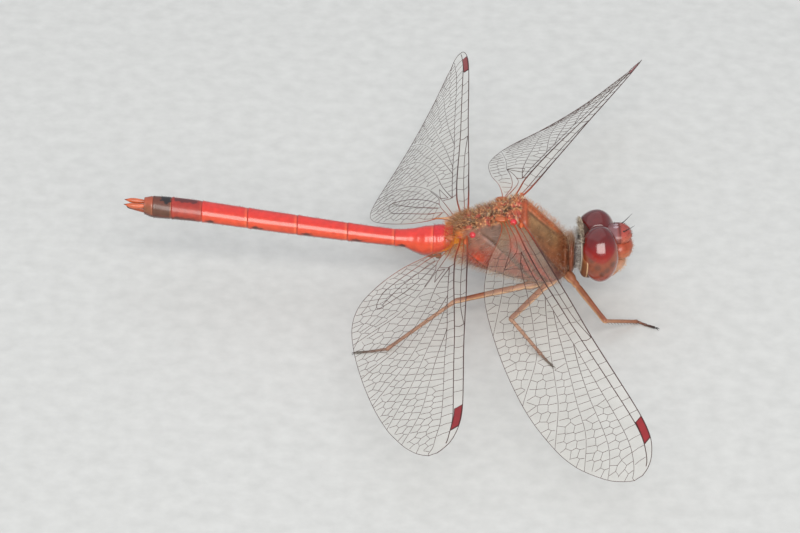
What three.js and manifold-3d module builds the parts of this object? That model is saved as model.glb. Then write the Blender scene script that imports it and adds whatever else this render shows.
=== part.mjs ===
// A life-size male autumn meadowhawk dragonfly, standing on its six feet with the four wings spread.
// Units are millimetres. +X is the way the body points, +Y is the animal's left, +Z is up.
// While it is built, x = 0 lies under the forewing bases and z = 0 is the floor. At the end the
// group is moved, so that the origin is on the floor below the middle of the whole animal.
import * as THREE from "three";
import { mergeVertices } from "three/addons/utils/BufferGeometryUtils.js";
import Module from "manifold-3d";

// ---- driving dimensions ----
const CLEARANCE = 0.04; // between two parts that meet
const HIDDEN = 0.6; // how far a leg runs into the trunk before it is trimmed
const SOLE_CUT = 0.03; // how much of a foot is cut away to make its flat sole

// Trunk sections: [x, top z, bottom z, half width].
const THORAX = [
  [-3.95, 5.8, 4.1, 0.8],
  [-3.6, 6.3, 3.75, 1.3],
  [-2.6, 6.9, 3.2, 1.85],
  [-1.2, 7.53, 2.75, 2.1],
  [0, 8.08, 2.4, 2.2],
  [0.7, 7.87, 2.2, 2.2],
  [1.7, 6.95, 2.1, 2.1],
  [2.7, 6.0, 2.15, 1.8],
  [3.3, 5.4, 2.4, 1.35],
  [3.62, 4.95, 2.7, 0.9],
];
const PROTHORAX = [
  [3.25, 4.8, 2.9, 0.75],
  [3.7, 5.05, 2.75, 0.95],
  [4.0, 4.85, 2.95, 0.8],
  [4.5, 4.6, 3.8, 0.5],
];
const ABDOMEN = [
  [-23.85, 7.12, 6, 0.5],
  [-23.3, 7.21, 5.8, 0.66],
  [-22.1, 7.15, 5.75, 0.78],
  [-20.15, 6.94, 5.6, 0.8],
  [-17.2, 6.54, 5.24, 0.77],
  [-14.0, 6.13, 4.86, 0.71],
  [-10.75, 5.7, 4.52, 0.65],
  [-7.7, 5.35, 4.25, 0.61],
  [-7.0, 5.37, 4.15, 0.65],
  [-6.4, 5.46, 3.84, 0.76],
  [-5.7, 5.62, 3.62, 0.9],
  [-4.75, 5.75, 3.85, 0.98],
  [-4.0, 5.75, 4.15, 0.85],
];
// Ends of the abdomen's ten segments along X, from the thorax to the tip.
const SEGMENT_ENDS = [-3.98, -4.45, -5.2, -7.7, -10.75, -14.0, -17.2, -20.15, -22.1, -23.3, -23.85];
const RIM_FLARE = 0.04; // each segment's hind rim stands out by this share of its radius

// The head is turned to the animal's left about the end of its neck.
const NECK = [4.4, 0, 4.2];
const HEAD_TURN = 5;
const HEAD_CAPSULE = [
  [4.2, 5.9, 3.1, 1.5],
  [4.35, 6.25, 2.8, 2.1],
  [4.7, 6.4, 2.7, 2.3],
  [5.2, 6.3, 2.75, 2.1],
  [5.8, 6.0, 2.95, 1.5],
];
// An eye leans with its top towards the midline.
const EYE = { at: [5.45, 1.3, 4.8], radii: [1.2, 1.28, 1.82], lean: 18, columns: 18, rows: 12 };
const FACE = [
  { name: "vertex", at: [6.55, 0, 5.8], radii: [0.38, 0.46, 0.38], columns: 12, rows: 8 },
  { name: "frons", at: [6.66, 0, 5.53], radii: [0.95, 1, 0.6] },
  { name: "clypeus", at: [6.72, 0, 4.66], radii: [0.98, 1.22, 0.82] },
  { name: "labrum", at: [6.42, 0, 3.66], radii: [0.86, 1.1, 0.72] },
  { name: "labium", at: [5.75, 0, 2.95], radii: [1.1, 1.05, 0.42] },
];
const ANTENNA = { from: [6.7, 0.42, 5.75], to: [7.65, 0.75, 6.45], radius: 0.25, tip: 0.2 };

// Wing outlines. u runs from 0 at the base to 1 at the tip. Each row is [u, leading edge, chord]:
// how far the leading edge lies ahead of the line from the base, and the wing's depth there.
const FOREWING = {
  base: [0.15, 1.6, 7.1],
  length: 25.0,
  outline: [
    [-0.03, 0.2, 1.1],
    [0, 0.25, 1.3],
    [0.05, 0.34, 2.1],
    [0.12, 0.36, 3.4],
    [0.22, 0.34, 4.6],
    [0.34, 0.34, 5.3],
    [0.5, 0.3, 5.75],
    [0.66, 0.36, 5.9],
    [0.8, 0.4, 5.5],
    [0.87, 0.33, 4.9],
    [0.92, 0.1, 4.0],
    [0.965, -0.4, 2.7],
    [0.99, -0.95, 1.4],
    [1, -1.4, 0.55],
  ],
};
const HINDWING = {
  base: [-3.2, 1.55, 5.65],
  length: 23.6,
  outline: [
    [-0.035, 0.15, 1.0],
    [0, 0.22, 1.25],
    [0.022, 0.25, 1.85],
    [0.045, 0.27, 3.5],
    [0.07, 0.28, 4.6],
    [0.12, 0.3, 5.95],
    [0.19, 0.3, 7.1],
    [0.28, 0.32, 7.6],
    [0.4, 0.3, 7.4],
    [0.55, 0.3, 6.75],
    [0.7, 0.36, 5.9],
    [0.82, 0.38, 4.95],
    [0.88, 0.3, 4.2],
    [0.93, 0.05, 3.3],
    [0.97, -0.35, 2.2],
    [0.99, -0.8, 1.2],
    [1, -1.15, 0.55],
  ],
};
const LEFT = 1;
const RIGHT = -1;
// How each wing is held, in degrees: sweep forward, droop of the tip, pitch of the hind edge below
// the leading edge at the base, and how much that pitch grows out to the tip.
const WINGS = [
  { name: "wing_fore_left", side: LEFT, form: FOREWING, sweep: 21.3, droop: 4.2, pitch: 0, twist: 54 },
  { name: "wing_fore_right", side: RIGHT, form: FOREWING, sweep: 21, droop: 5.2, pitch: 2, twist: 24 },
  { name: "wing_hind_left", side: LEFT, form: HINDWING, sweep: -0.8, droop: 0.9, pitch: 20, twist: 42 },
  { name: "wing_hind_right", side: RIGHT, form: HINDWING, sweep: -0.3, droop: -0.2, pitch: 18, twist: 6 },
];
const WING_THICKNESS = 0.5;
const WING_CAMBER = 0.03; // rise of the middle of the chord, as a share of the chord
const WING_STATIONS = 20;
const WING_CHORD_CELLS = 4;

// Legs: the places of hip, knee, ankle and toe, with y towards the leg's own side.
const HIPS = { front: [3.6, 0.65, 2.8], mid: [2.6, 0.9, 2.6], hind: [1.5, 0.9, 2.2] };
const LEGS = [
  { pair: "front", side: LEFT, knee: [5.3, 4.5, 2.1], ankle: [7.05, 5.75, 0.34], toe: [7.65, 6.85, 0.24] },
  { pair: "front", side: RIGHT, knee: [5.98, 4.17, 1.6], ankle: [8.13, 1.92, 0.34], toe: [9.25, 2.42, 0.24] },
  { pair: "mid", side: LEFT, knee: [-0.05, 4.8, 1.7], ankle: [1.94, 6.6, 0.34], toe: [2.66, 7.75, 0.24] },
  { pair: "mid", side: RIGHT, knee: [-0.05, 4.46, 1.7], ankle: [1.94, 6.18, 0.34], toe: [2.64, 7.3, 0.24] },
  { pair: "hind", side: LEFT, knee: [-3.67, 3.7, 2.15], ankle: [-7.9, 6.75, 0.34], toe: [-9.8, 7.2, 0.24] },
  { pair: "hind", side: RIGHT, knee: [-3.67, 3.2, 2.1], ankle: [-7.9, 6.18, 0.34], toe: [-9.8, 6.58, 0.24] },
];
const HIP_RADIUS = 0.34;
const KNEE_RADIUS = 0.26;
const FOOT_RADIUS = 0.25;
const LIMB_SIDES = 8;

const CERCUS = { from: [-23.6, 0.22, 6.72], to: [-25.15, 0.3, 6.8], radius: 0.2, tip: 0.1 };
const EPIPROCT = { from: [-23.6, 0, 6.27], to: [-25, 0, 6.5], radius: 0.28, tip: 0.11 };
const GENITALIA = { at: [-5.1, 0, 3.72], radii: [0.62, 0.36, 0.36], columns: 12, rows: 8 };

// ---- finishes ----
const FINISHES = {
  abdomen: { color: 0xd8261c, roughness: 0.35 },
  tip: { color: 0xc0562f, roughness: 0.45 },
  thorax: { color: 0x8a5428, roughness: 0.7 },
  eye: { color: 0x6b1a1c, roughness: 0.12 },
  face: { color: 0xc0472e, roughness: 0.35 },
  head: { color: 0x6f4a35, roughness: 0.6 },
  leg: { color: 0x9a5c38, roughness: 0.5 },
  wing: { color: 0xd8cdb8, roughness: 0.2 },
};

const wasm = await Module();
wasm.setup();
const radians = THREE.MathUtils.degToRad;

// ---- shapes ----

// The value in one column of rows at x, on a smooth curve through the rows. Rows rise in column 0.
function along(rows, x, column) {
  const last = rows.length - 1;
  let i = 0;
  while (i < last - 1 && x > rows[i + 1][0]) i += 1;
  const slope = (k) => {
    const a = rows[Math.max(k - 1, 0)];
    const b = rows[Math.min(k + 1, last)];
    return (b[column] - a[column]) / (b[0] - a[0]);
  };
  const span = rows[i + 1][0] - rows[i][0];
  const t = THREE.MathUtils.clamp((x - rows[i][0]) / span, 0, 1);
  const eased = t * t * (3 - 2 * t);
  const bend = span * t * (1 - t) * ((1 - t) * slope(i) - t * slope(i + 1));
  return rows[i][column] * (1 - eased) + rows[i + 1][column] * eased + bend;
}

// A closed surface through rings that have as many points each, with a fan at each end.
function closedSkin(rings) {
  const sides = rings[0].length;
  const points = rings.flat();
  const faces = [];
  for (let r = 0; r + 1 < rings.length; r += 1) {
    for (let k = 0; k < sides; k += 1) {
      const a = r * sides + k;
      const b = r * sides + ((k + 1) % sides);
      faces.push(a, b, a + sides, b, b + sides, a + sides);
    }
  }
  for (const r of [0, rings.length - 1]) {
    const centre = new THREE.Vector3();
    rings[r].forEach((point) => centre.addScaledVector(point, 1 / sides));
    points.push(centre);
    for (let k = 0; k < sides; k += 1) {
      const pair = [r * sides + k, r * sides + ((k + 1) % sides)];
      faces.push(points.length - 1, ...(r === 0 ? pair.reverse() : pair));
    }
  }
  return new THREE.BufferGeometry().setFromPoints(points).setIndex(faces);
}

// A manifold-3d solid from a closed geometry, with its faces turned to point outwards.
function solidFrom(geometry) {
  const bare = geometry.clone();
  for (const name of Object.keys(bare.attributes)) {
    if (name !== "position") bare.deleteAttribute(name);
  }
  const merged = mergeVertices(bare, 1e-5);
  const corners = [];
  for (let i = 0; i < merged.index.count; i += 3) {
    const [a, b, c] = [0, 1, 2].map((k) => merged.index.getX(i + k));
    if (a !== b && b !== c && c !== a) corners.push([a, b, c]);
  }
  const make = (faces) =>
    new wasm.Manifold(
      new wasm.Mesh({
        numProp: 3,
        vertProperties: merged.attributes.position.array,
        triVerts: new Uint32Array(faces.flat()),
      }),
    );
  const made = make(corners);
  return made.volume() > 0 ? made : make(corners.map(([a, b, c]) => [a, c, b]));
}

function geometryFrom(solid) {
  const mesh = solid.getMesh();
  const geometry = new THREE.BufferGeometry();
  geometry.setAttribute("position", new THREE.BufferAttribute(mesh.vertProperties, 3));
  geometry.setIndex(new THREE.BufferAttribute(mesh.triVerts, 1));
  geometry.computeVertexNormals();
  return geometry;
}

// The largest body of a trimmed solid, without the slivers that trimming leaves beside it.
function mainBody(solid) {
  return solid.decompose().reduce((best, piece) => (piece.volume() > best.volume() ? piece : best));
}

// A copy of a solid on the animal's other side.
function mirrored(solid) {
  return solidFrom(geometryFrom(solid).scale(1, -1, 1));
}

// A point given with y towards its own side, as a vector.
function onSide(side, [x, y, z]) {
  return new THREE.Vector3(x, side * y, z);
}

// The trunk's outline at x: an ellipse that narrows towards the top by the share `taper`.
function trunkRing(rows, x, { sides, taper, scale = 1, grow = 0 }) {
  const middle = (along(rows, x, 1) + along(rows, x, 2)) / 2;
  const half = (scale * (along(rows, x, 1) - along(rows, x, 2))) / 2 + grow;
  const halfWidth = scale * along(rows, x, 3) + grow;
  return Array.from({ length: sides }, (_, k) => {
    const angle = (2 * Math.PI * (k + 0.5)) / sides;
    const s = Math.sin(angle);
    const y = halfWidth * Math.cos(angle) * (1 - taper * Math.max(s, 0));
    return new THREE.Vector3(x, y, middle + half * s);
  });
}

// A piece of the trunk through all its rows, made larger by `grow` all round.
function trunk(rows, { steps, grow = 0, ...section }) {
  const first = rows[0][0];
  const last = rows[rows.length - 1][0];
  const rings = [];
  for (let i = 0; i <= steps; i += 1) {
    const ring = trunkRing(rows, THREE.MathUtils.lerp(first, last, i / steps), { ...section, grow });
    if (i === 0) ring.forEach((point) => (point.x -= grow));
    if (i === steps) ring.forEach((point) => (point.x += grow));
    rings.push(ring);
  }
  return solidFrom(closedSkin(rings));
}

function ellipsoid({ at, radii, lean = 0, columns = 14, rows = 10 }, grow = 0) {
  const ball = new THREE.SphereGeometry(1, columns, rows).rotateX(Math.PI / 2);
  ball.scale(...radii.map((radius) => radius + grow));
  return solidFrom(ball.rotateX(radians(lean)).translate(...at));
}

// A straight limb with round ends: a turned profile, laid from one point to the other.
function limb(from, to, startRadius, endRadius, grow = 0) {
  const length = from.distanceTo(to);
  const startCap = startRadius + grow;
  const endCap = endRadius + grow;
  const slant = Math.SQRT1_2;
  const profile = [
    [0, -startCap],
    [startCap * slant, -startCap * slant],
    [startCap, 0],
    [endCap, length],
    [endCap * slant, length + endCap * slant],
    [0, length + endCap],
  ];
  const turned = new THREE.LatheGeometry(
    profile.map(([radius, height]) => new THREE.Vector2(radius, height)),
    LIMB_SIDES,
  );
  const direction = to.clone().sub(from).normalize();
  const turn = new THREE.Quaternion().setFromUnitVectors(new THREE.Vector3(0, 1, 0), direction);
  return solidFrom(turned.applyQuaternion(turn).translate(from.x, from.y, from.z));
}

// A tapering limb of the head or the tail, on one side.
function spike({ from, to, radius, tip }, side, grow = 0) {
  return limb(onSide(side, from), onSide(side, to), radius, tip, grow);
}

// ---- the parts ----
const group = new THREE.Group();
const head = new THREE.Group();
head.position.set(...NECK);
head.rotation.z = radians(HEAD_TURN);
group.add(head);

function add(name, solid, finish, parent = group) {
  const geometry = geometryFrom(mainBody(solid));
  if (parent === head) geometry.translate(...NECK.map((value) => -value));
  const material = new THREE.MeshStandardMaterial({ ...FINISHES[finish], metalness: 0 });
  const mesh = new THREE.Mesh(geometry, material);
  mesh.name = name;
  parent.add(mesh);
}

function addPair(name, leftSolid, finish, parent = group) {
  add(`${name}_left`, leftSolid, finish, parent);
  add(`${name}_right`, mirrored(leftSolid), finish, parent);
}

// Head: the eyes come first, and each piece of the face gives way to those before it.
const leftHalf = solidFrom(new THREE.BoxGeometry(80, 10, 20).translate(0, 5 + CLEARANCE / 2, 5));
addPair("eye", ellipsoid(EYE).intersect(leftHalf), "eye", head);
const eyeRoom = ellipsoid(EYE, CLEARANCE);
let headRoom = eyeRoom.add(mirrored(eyeRoom));
for (const piece of FACE) {
  add(piece.name, ellipsoid(piece).subtract(headRoom), "face", head);
  headRoom = headRoom.add(ellipsoid(piece, CLEARANCE));
}
addPair("antenna", spike(ANTENNA, LEFT).subtract(headRoom), "leg", head);
const capsuleMesh = { sides: 12, steps: 4, taper: 0.1 };
add("head_capsule", trunk(HEAD_CAPSULE, capsuleMesh).subtract(headRoom), "head", head);

// The space that the turned head needs, where it meets the neck.
const turnedCapsule = geometryFrom(trunk(HEAD_CAPSULE, { ...capsuleMesh, grow: CLEARANCE }));
turnedCapsule.translate(...NECK.map((value) => -value));
turnedCapsule.rotateZ(radians(HEAD_TURN));
const headCapsuleRoom = solidFrom(turnedCapsule.translate(...NECK));

// Thorax and prothorax.
const thoraxMesh = { sides: 20, steps: 14, taper: 0.2 };
const prothoraxMesh = { sides: 12, steps: 4, taper: 0 };
const thoraxRoom = trunk(THORAX, { ...thoraxMesh, grow: CLEARANCE });
const prothoraxRoom = trunk(PROTHORAX, { ...prothoraxMesh, grow: CLEARANCE });
add("thorax", trunk(THORAX, thoraxMesh), "thorax");
add("prothorax", trunk(PROTHORAX, prothoraxMesh).subtract(thoraxRoom).subtract(headCapsuleRoom), "thorax");

// Abdomen: ten rings, each a little proud at its hind rim, then the claspers at its tip.
function segment(front, back) {
  const stations = [
    [0, 1 - RIM_FLARE / 2],
    [0.3, 1],
    [0.75, 1],
    [1, 1 + RIM_FLARE],
  ];
  const rings = stations.map(([t, scale]) =>
    trunkRing(ABDOMEN, THREE.MathUtils.lerp(front, back, t), { sides: 14, taper: 0.12, scale }),
  );
  return solidFrom(closedSkin(rings));
}
let abdomenRoom = thoraxRoom;
SEGMENT_ENDS.slice(1).forEach((back, index) => {
  const front = SEGMENT_ENDS[index];
  const finish = index < 8 ? "abdomen" : "tip";
  add(`abdomen_s${index + 1}`, segment(front - CLEARANCE / 2, back + CLEARANCE / 2), finish);
  abdomenRoom = abdomenRoom.add(segment(front + CLEARANCE / 2, back - CLEARANCE / 2));
});
add("genitalia", ellipsoid(GENITALIA).subtract(abdomenRoom), "tip");
addPair("cercus", spike(CERCUS, LEFT).subtract(abdomenRoom).intersect(leftHalf), "tip");
const cercusRoom = spike(CERCUS, LEFT, CLEARANCE).add(spike(CERCUS, RIGHT, CLEARANCE));
add("epiproct", spike(EPIPROCT, LEFT).subtract(abdomenRoom.add(cercusRoom)), "tip");

// Wings: cambered plates with the true outline, trimmed where they meet the trunk.
function wingPlate({ side, form, sweep, droop, pitch, twist }) {
  const { base, length, outline } = form;
  const span = new THREE.Vector3(
    Math.sin(radians(sweep)) * Math.cos(radians(droop)),
    Math.cos(radians(sweep)) * Math.cos(radians(droop)),
    -Math.sin(radians(droop)),
  );
  const level = new THREE.Vector3(-1, 0, 0).projectOnPlane(span).normalize();
  const above = new THREE.Vector3().crossVectors(span, level);
  const rings = [];
  for (let i = 0; i <= WING_STATIONS; i += 1) {
    // stations crowd towards the base and the tip, where the outline turns fastest
    const t = (1 - Math.cos((Math.PI * i) / WING_STATIONS)) / 2;
    const u = THREE.MathUtils.lerp(outline[0][0], 1, t);
    const [lead, chord] = [along(outline, u, 1), along(outline, u, 2)];
    const angle = radians(pitch + twist * u);
    const back = level.clone().multiplyScalar(Math.cos(angle)).addScaledVector(above, -Math.sin(angle));
    const up = new THREE.Vector3().crossVectors(span, back);
    const point = (share, face) =>
      new THREE.Vector3(...base)
        .addScaledVector(span, u * length)
        .addScaledVector(back, share * chord - lead)
        .addScaledVector(up, 4 * WING_CAMBER * chord * share * (1 - share) + (face * WING_THICKNESS) / 2);
    const shares = Array.from({ length: WING_CHORD_CELLS + 1 }, (_, k) => k / WING_CHORD_CELLS);
    const upper = shares.map((share) => point(share, 1));
    const lower = shares.map((share) => point(share, -1));
    rings.push([...upper, ...lower.reverse()]);
  }
  const plate = solidFrom(closedSkin(rings));
  return side === LEFT ? plate : mirrored(plate);
}
for (const wing of WINGS) {
  add(wing.name, wingPlate(wing).subtract(abdomenRoom), "wing");
}

// Legs: coxa and femur in one, tibia, and tarsus lying flat on the floor.
const aboveFloor = solidFrom(new THREE.BoxGeometry(60, 60, 10).translate(0, 0, 5 + SOLE_CUT));
const trunkRoom = thoraxRoom.add(prothoraxRoom).add(headCapsuleRoom);
for (const leg of LEGS) {
  const { pair, side } = leg;
  const [hip, knee, ankle, toe] = [HIPS[pair], leg.knee, leg.ankle, leg.toe].map((at) => onSide(side, at));
  const name = `leg_${pair}_${side === LEFT ? "left" : "right"}`;
  const root = hip.clone().add(hip.clone().sub(knee).setLength(HIDDEN));
  const femur = limb(root, knee, HIP_RADIUS, KNEE_RADIUS);
  const tibia = limb(knee, ankle, KNEE_RADIUS, FOOT_RADIUS);
  const tarsus = limb(ankle, toe, FOOT_RADIUS, FOOT_RADIUS);
  const femurRoom = limb(root, knee, HIP_RADIUS, KNEE_RADIUS, CLEARANCE);
  const tibiaRoom = limb(knee, ankle, KNEE_RADIUS, FOOT_RADIUS, CLEARANCE);
  add(`${name}_femur`, femur.subtract(trunkRoom), "leg");
  add(`${name}_tibia`, tibia.subtract(femurRoom).intersect(aboveFloor), "leg");
  add(`${name}_tarsus`, tarsus.subtract(tibiaRoom).intersect(aboveFloor), "leg");
}

// The origin goes below the middle of the animal's box, on the floor.
const box = new THREE.Box3().setFromObject(group);
group.position.set(-(box.min.x + box.max.x) / 2, -(box.min.y + box.max.y) / 2, -box.min.z);

export default group;
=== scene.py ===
"""The looks of a life-size male autumn meadowhawk dragonfly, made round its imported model.

Shapes are worked out in the model's own millimetres: x = 0 below the forewing bases, +X towards
the head, +Y the animal's left, z = 0 the floor. placed() turns such points into the row frame.
"""

import math

import bpy
import numpy as np
from mathutils import Matrix, Vector, geometry, noise


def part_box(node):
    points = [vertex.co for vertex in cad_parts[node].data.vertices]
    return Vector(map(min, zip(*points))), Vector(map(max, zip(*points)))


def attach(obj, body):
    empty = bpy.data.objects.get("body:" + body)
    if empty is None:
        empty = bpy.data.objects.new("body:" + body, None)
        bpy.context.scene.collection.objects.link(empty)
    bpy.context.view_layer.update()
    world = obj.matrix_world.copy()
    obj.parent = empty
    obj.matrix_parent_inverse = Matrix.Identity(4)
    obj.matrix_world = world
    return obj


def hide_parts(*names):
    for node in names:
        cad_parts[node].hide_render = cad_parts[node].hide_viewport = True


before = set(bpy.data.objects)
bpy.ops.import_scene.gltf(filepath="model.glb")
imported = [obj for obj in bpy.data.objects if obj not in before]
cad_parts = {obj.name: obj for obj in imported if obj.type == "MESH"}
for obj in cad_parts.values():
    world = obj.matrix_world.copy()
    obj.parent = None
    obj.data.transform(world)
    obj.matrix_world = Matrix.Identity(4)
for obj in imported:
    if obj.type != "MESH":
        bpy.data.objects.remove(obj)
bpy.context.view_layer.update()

MM = 0.001
SEED = 11
TUFT_PATCH = 0.003  # how wide a hair's or vein's patch is on the map that a bake uses
MOTTLE_SCALE = 2600  # cells to the metre in the noise of a shell's colour, and of its gloss
GLOSS_SCALE = 5200
LEFT, RIGHT = 1, -1

# ---- the model's driving dimensions, in millimetres, as its source has them ----
SOLE_CUT = 0.03
# Trunk sections: x, top z, bottom z and half width.
THORAX = np.array([
    (-3.95, 5.8, 4.1, 0.8), (-3.6, 6.3, 3.75, 1.3), (-2.6, 6.9, 3.2, 1.85), (-1.2, 7.53, 2.75, 2.1),
    (0, 8.08, 2.4, 2.2), (0.7, 7.87, 2.2, 2.2), (1.7, 6.95, 2.1, 2.1), (2.7, 6.0, 2.15, 1.8),
    (3.3, 5.4, 2.4, 1.35), (3.62, 4.95, 2.7, 0.9),
])
PROTHORAX = np.array([
    (3.25, 4.8, 2.9, 0.75), (3.7, 5.05, 2.75, 0.95), (4.0, 4.85, 2.95, 0.8), (4.5, 4.6, 3.8, 0.5),
])
ABDOMEN = np.array([
    (-23.85, 7.12, 6.0, 0.5), (-23.3, 7.21, 5.8, 0.66), (-22.1, 7.15, 5.75, 0.78), (-20.15, 6.94, 5.6, 0.8),
    (-17.2, 6.54, 5.24, 0.77), (-14.0, 6.13, 4.86, 0.71), (-10.75, 5.7, 4.52, 0.65),
    (-7.7, 5.35, 4.25, 0.61), (-7.0, 5.37, 4.15, 0.65), (-6.4, 5.46, 3.84, 0.76), (-5.7, 5.62, 3.62, 0.9),
    (-4.75, 5.75, 3.85, 0.98), (-4.0, 5.75, 4.15, 0.85),
])
SEGMENT_ENDS = [-3.98, -4.45, -5.2, -7.7, -10.75, -14.0, -17.2, -20.15, -22.1, -23.3, -23.85]
THORAX_TAPER = 0.2
ABDOMEN_TAPER = 0.12
CAPSULE_TAPER = 0.1

NECK = np.array([4.4, 0, 4.2])
HEAD_TURN = 5
HEAD_BACK = 4.2
HEAD_CAPSULE = np.array([
    (4.2, 5.9, 3.1, 1.5), (4.35, 6.25, 2.8, 2.1), (4.7, 6.4, 2.7, 2.3), (5.2, 6.3, 2.75, 2.1),
    (5.8, 6.0, 2.95, 1.5),
])
EYE = {"at": (5.45, 1.3, 4.8), "radii": (1.2, 1.28, 1.82), "lean": 18}
FRONS = {"at": (6.66, 0, 5.53), "radii": (0.95, 1.0, 0.6)}
CLYPEUS = {"at": (6.72, 0, 4.66), "radii": (0.98, 1.22, 0.82)}
LABRUM = {"at": (6.42, 0, 3.66), "radii": (0.86, 1.1, 0.72)}
LABIUM = {"at": (5.75, 0, 2.95), "radii": (1.1, 1.05, 0.42)}
VERTEX = {"at": (6.55, 0, 5.8), "radii": (0.38, 0.46, 0.38)}
ANTENNA = ((6.7, 0.42, 5.75), (7.65, 0.75, 6.45))
CERCUS = ((-23.6, 0.22, 6.72), (-25.15, 0.3, 6.8))
EPIPROCT = ((-23.6, 0, 6.27), (-25.0, 0, 6.5))

HIPS = {"front": (3.6, 0.65, 2.8), "mid": (2.6, 0.9, 2.6), "hind": (1.5, 0.9, 2.2)}
ANKLE_HEIGHT = 0.2
FOOT_HEIGHT = 0.12  # of the last foot joint's middle above the floor
# Legs: pair, side, knee, and the ankle's and the toe's x and y, all measured on the left.
LEGS = [
    ("front", LEFT, (5.3, 4.5, 2.1), (7.05, 5.75), (7.65, 6.85)),
    ("front", RIGHT, (5.98, 4.17, 1.6), (8.13, 1.92), (9.25, 2.42)),
    ("mid", LEFT, (-0.05, 4.8, 1.7), (1.94, 6.6), (2.66, 7.75)),
    ("mid", RIGHT, (-0.05, 4.46, 1.7), (1.94, 6.18), (2.64, 7.3)),
    ("hind", LEFT, (-3.67, 3.7, 2.15), (-7.9, 6.75), (-9.8, 7.2)),
    ("hind", RIGHT, (-3.67, 3.2, 2.1), (-7.9, 6.18), (-9.8, 6.58)),
]

# Where the model's own millimetres lie in the row frame: the trunk is centred on y = 0.
thorax_low, thorax_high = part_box("thorax")
SHIFT = np.array([
    thorax_low.x / MM - THORAX[0][0],
    (thorax_low.y + thorax_high.y) / 2 / MM,
    -SOLE_CUT,
])


def placed(points):
    """Points in the model's millimetres, as points of the row frame in metres."""
    return (np.asarray(points, float) + SHIFT) * MM


# ---- colours and materials ----
def light(colour):
    """A colour as linear light. One given as a tuple is as the eye sees it, in shares of 1."""
    if isinstance(colour, tuple):
        seen = np.array(colour, float)
        return np.where(seen <= 0.04045, seen / 12.92, ((seen + 0.055) / 1.055) ** 2.4)
    return np.asarray(colour)


def blend(first, second, share):
    """first where share is 0 and second where it is 1. share is one number, or one for each point."""
    share = np.asarray(share, float)
    if share.ndim:
        share = share[..., None]
    return light(first) * (1 - share) + light(second) * share


def coats(colour, *layers):
    """A colour under layers of others. Each gives red, green and blue as the eye sees them, and a share."""
    for *seen, share in layers:
        colour = blend(colour, tuple(seen), share)
    return colour


def rise(value, low, high):
    """0 below low, 1 above high and a smooth step between. It falls where low is above high."""
    t = np.clip((np.asarray(value, float) - low) / (high - low), 0, 1)
    return t * t * (3 - 2 * t)


def bump_at(value, centre, width):
    """A smooth bump of height 1 at centre that dies out at about twice width on each side."""
    return np.exp(-(((np.asarray(value, float) - centre) / width) ** 2))


class Nodes:
    """A new material, with its shader's constants, and what adds nodes to it."""

    def __init__(self, name, rough, specular=0.5, coat=0.0, coat_rough=0.1, alpha=1.0):
        self.material = bpy.data.materials.new(name)
        self.material.use_nodes = True
        self.tree = self.material.node_tree
        self.shader = self.tree.nodes["Principled BSDF"]
        self.shader.inputs["Roughness"].default_value = rough
        self.shader.inputs["Specular IOR Level"].default_value = specular
        self.shader.inputs["Coat Weight"].default_value = coat
        self.shader.inputs["Coat Roughness"].default_value = coat_rough
        self.shader.inputs["Alpha"].default_value = alpha

    def add(self, kind, output, inputs, **settings):
        """A new node's output. Its inputs are other nodes' outputs or plain values."""
        node = self.tree.nodes.new("ShaderNode" + kind)
        for name, value in settings.items():
            setattr(node, name, value)
        for name, value in inputs.items():
            if isinstance(value, bpy.types.NodeSocket):
                self.tree.links.new(value, node.inputs[name])
            else:
                node.inputs[name].default_value = value
        return node.outputs[output]

    def feed(self, socket, value):
        self.tree.links.new(value, self.shader.inputs[socket])

    def noise(self, scale, detail=3):
        """Noise with scale cells to the metre."""
        place = self.add("TexCoord", "Object", {})
        return self.add("TexNoise", "Fac", {"Scale": scale, "Detail": detail, "Vector": place})

    def ramp(self, value, *stops):
        output = self.add("ValToRGB", "Color", {"Fac": value})
        for element, (place, colour) in zip(output.node.color_ramp.elements, stops):
            element.position = place
            element.color = (*colour, 1)
        return output

    def paint(self):
        """The colour painted on the mesh's points."""
        return self.add("Attribute", "Color", {}, attribute_name="paint")

    def mottle(self, value, strength):
        """Feeds the painted colour, made lighter and darker by value around a half."""
        shade = self.ramp(value, (0.3, (1 - strength,) * 3), (0.7, (1 + strength,) * 3))
        inputs = {"Factor": 1, "A": self.paint(), "B": shade}
        self.feed("Base Color", self.add("Mix", "Result", inputs, data_type="RGBA", blend_type="MULTIPLY"))

    def bump(self, value, height):
        """Feeds a bump of the given height in metres."""
        self.feed("Normal", self.add("Bump", "Normal", {"Distance": height, "Height": value}))


def painted_material(name, rough, **constants):
    """A smooth material of the colour painted on its meshes."""
    nodes = Nodes(name, rough, **constants)
    nodes.feed("Base Color", nodes.paint())
    return nodes.material


def shell_material(name, rough, coat=0.0, mottle=0.1, grain=14000, grain_height=4e-6):
    """Painted shell: mottled colour, uneven gloss and a fine pitted grain."""
    nodes = Nodes(name, rough, coat=coat)
    nodes.mottle(nodes.noise(MOTTLE_SCALE), mottle)
    gloss = {"To Min": rough * 0.8, "To Max": rough * 1.25, "Value": nodes.noise(GLOSS_SCALE)}
    nodes.feed("Roughness", nodes.add("MapRange", "Result", gloss))
    nodes.bump(nodes.noise(grain, detail=2), grain_height)
    return nodes.material


# ---- camera, floor and light ----
TARGET = (-7.304, 0, 2.591)
CAMERA_DISTANCE = 284.49
CAMERA_AZIMUTH = 0.97
CAMERA_ELEVATION = 31.98
CAMERA_ROLL = 1.41
LENS = 197.55
LAMP_DISTANCE = 0.8
# The way to the key light: it stands behind the camera's right shoulder, 35 degrees up.
KEY_WAY = (0.19, -1.41, 1.0)
TOP_WAY = (-0.2, 0.25, 1)
FLOOR_HALF = 1.2


def add_object(name, data):
    thing = bpy.data.objects.new(name, data)
    bpy.context.scene.collection.objects.link(thing)
    return thing


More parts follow.
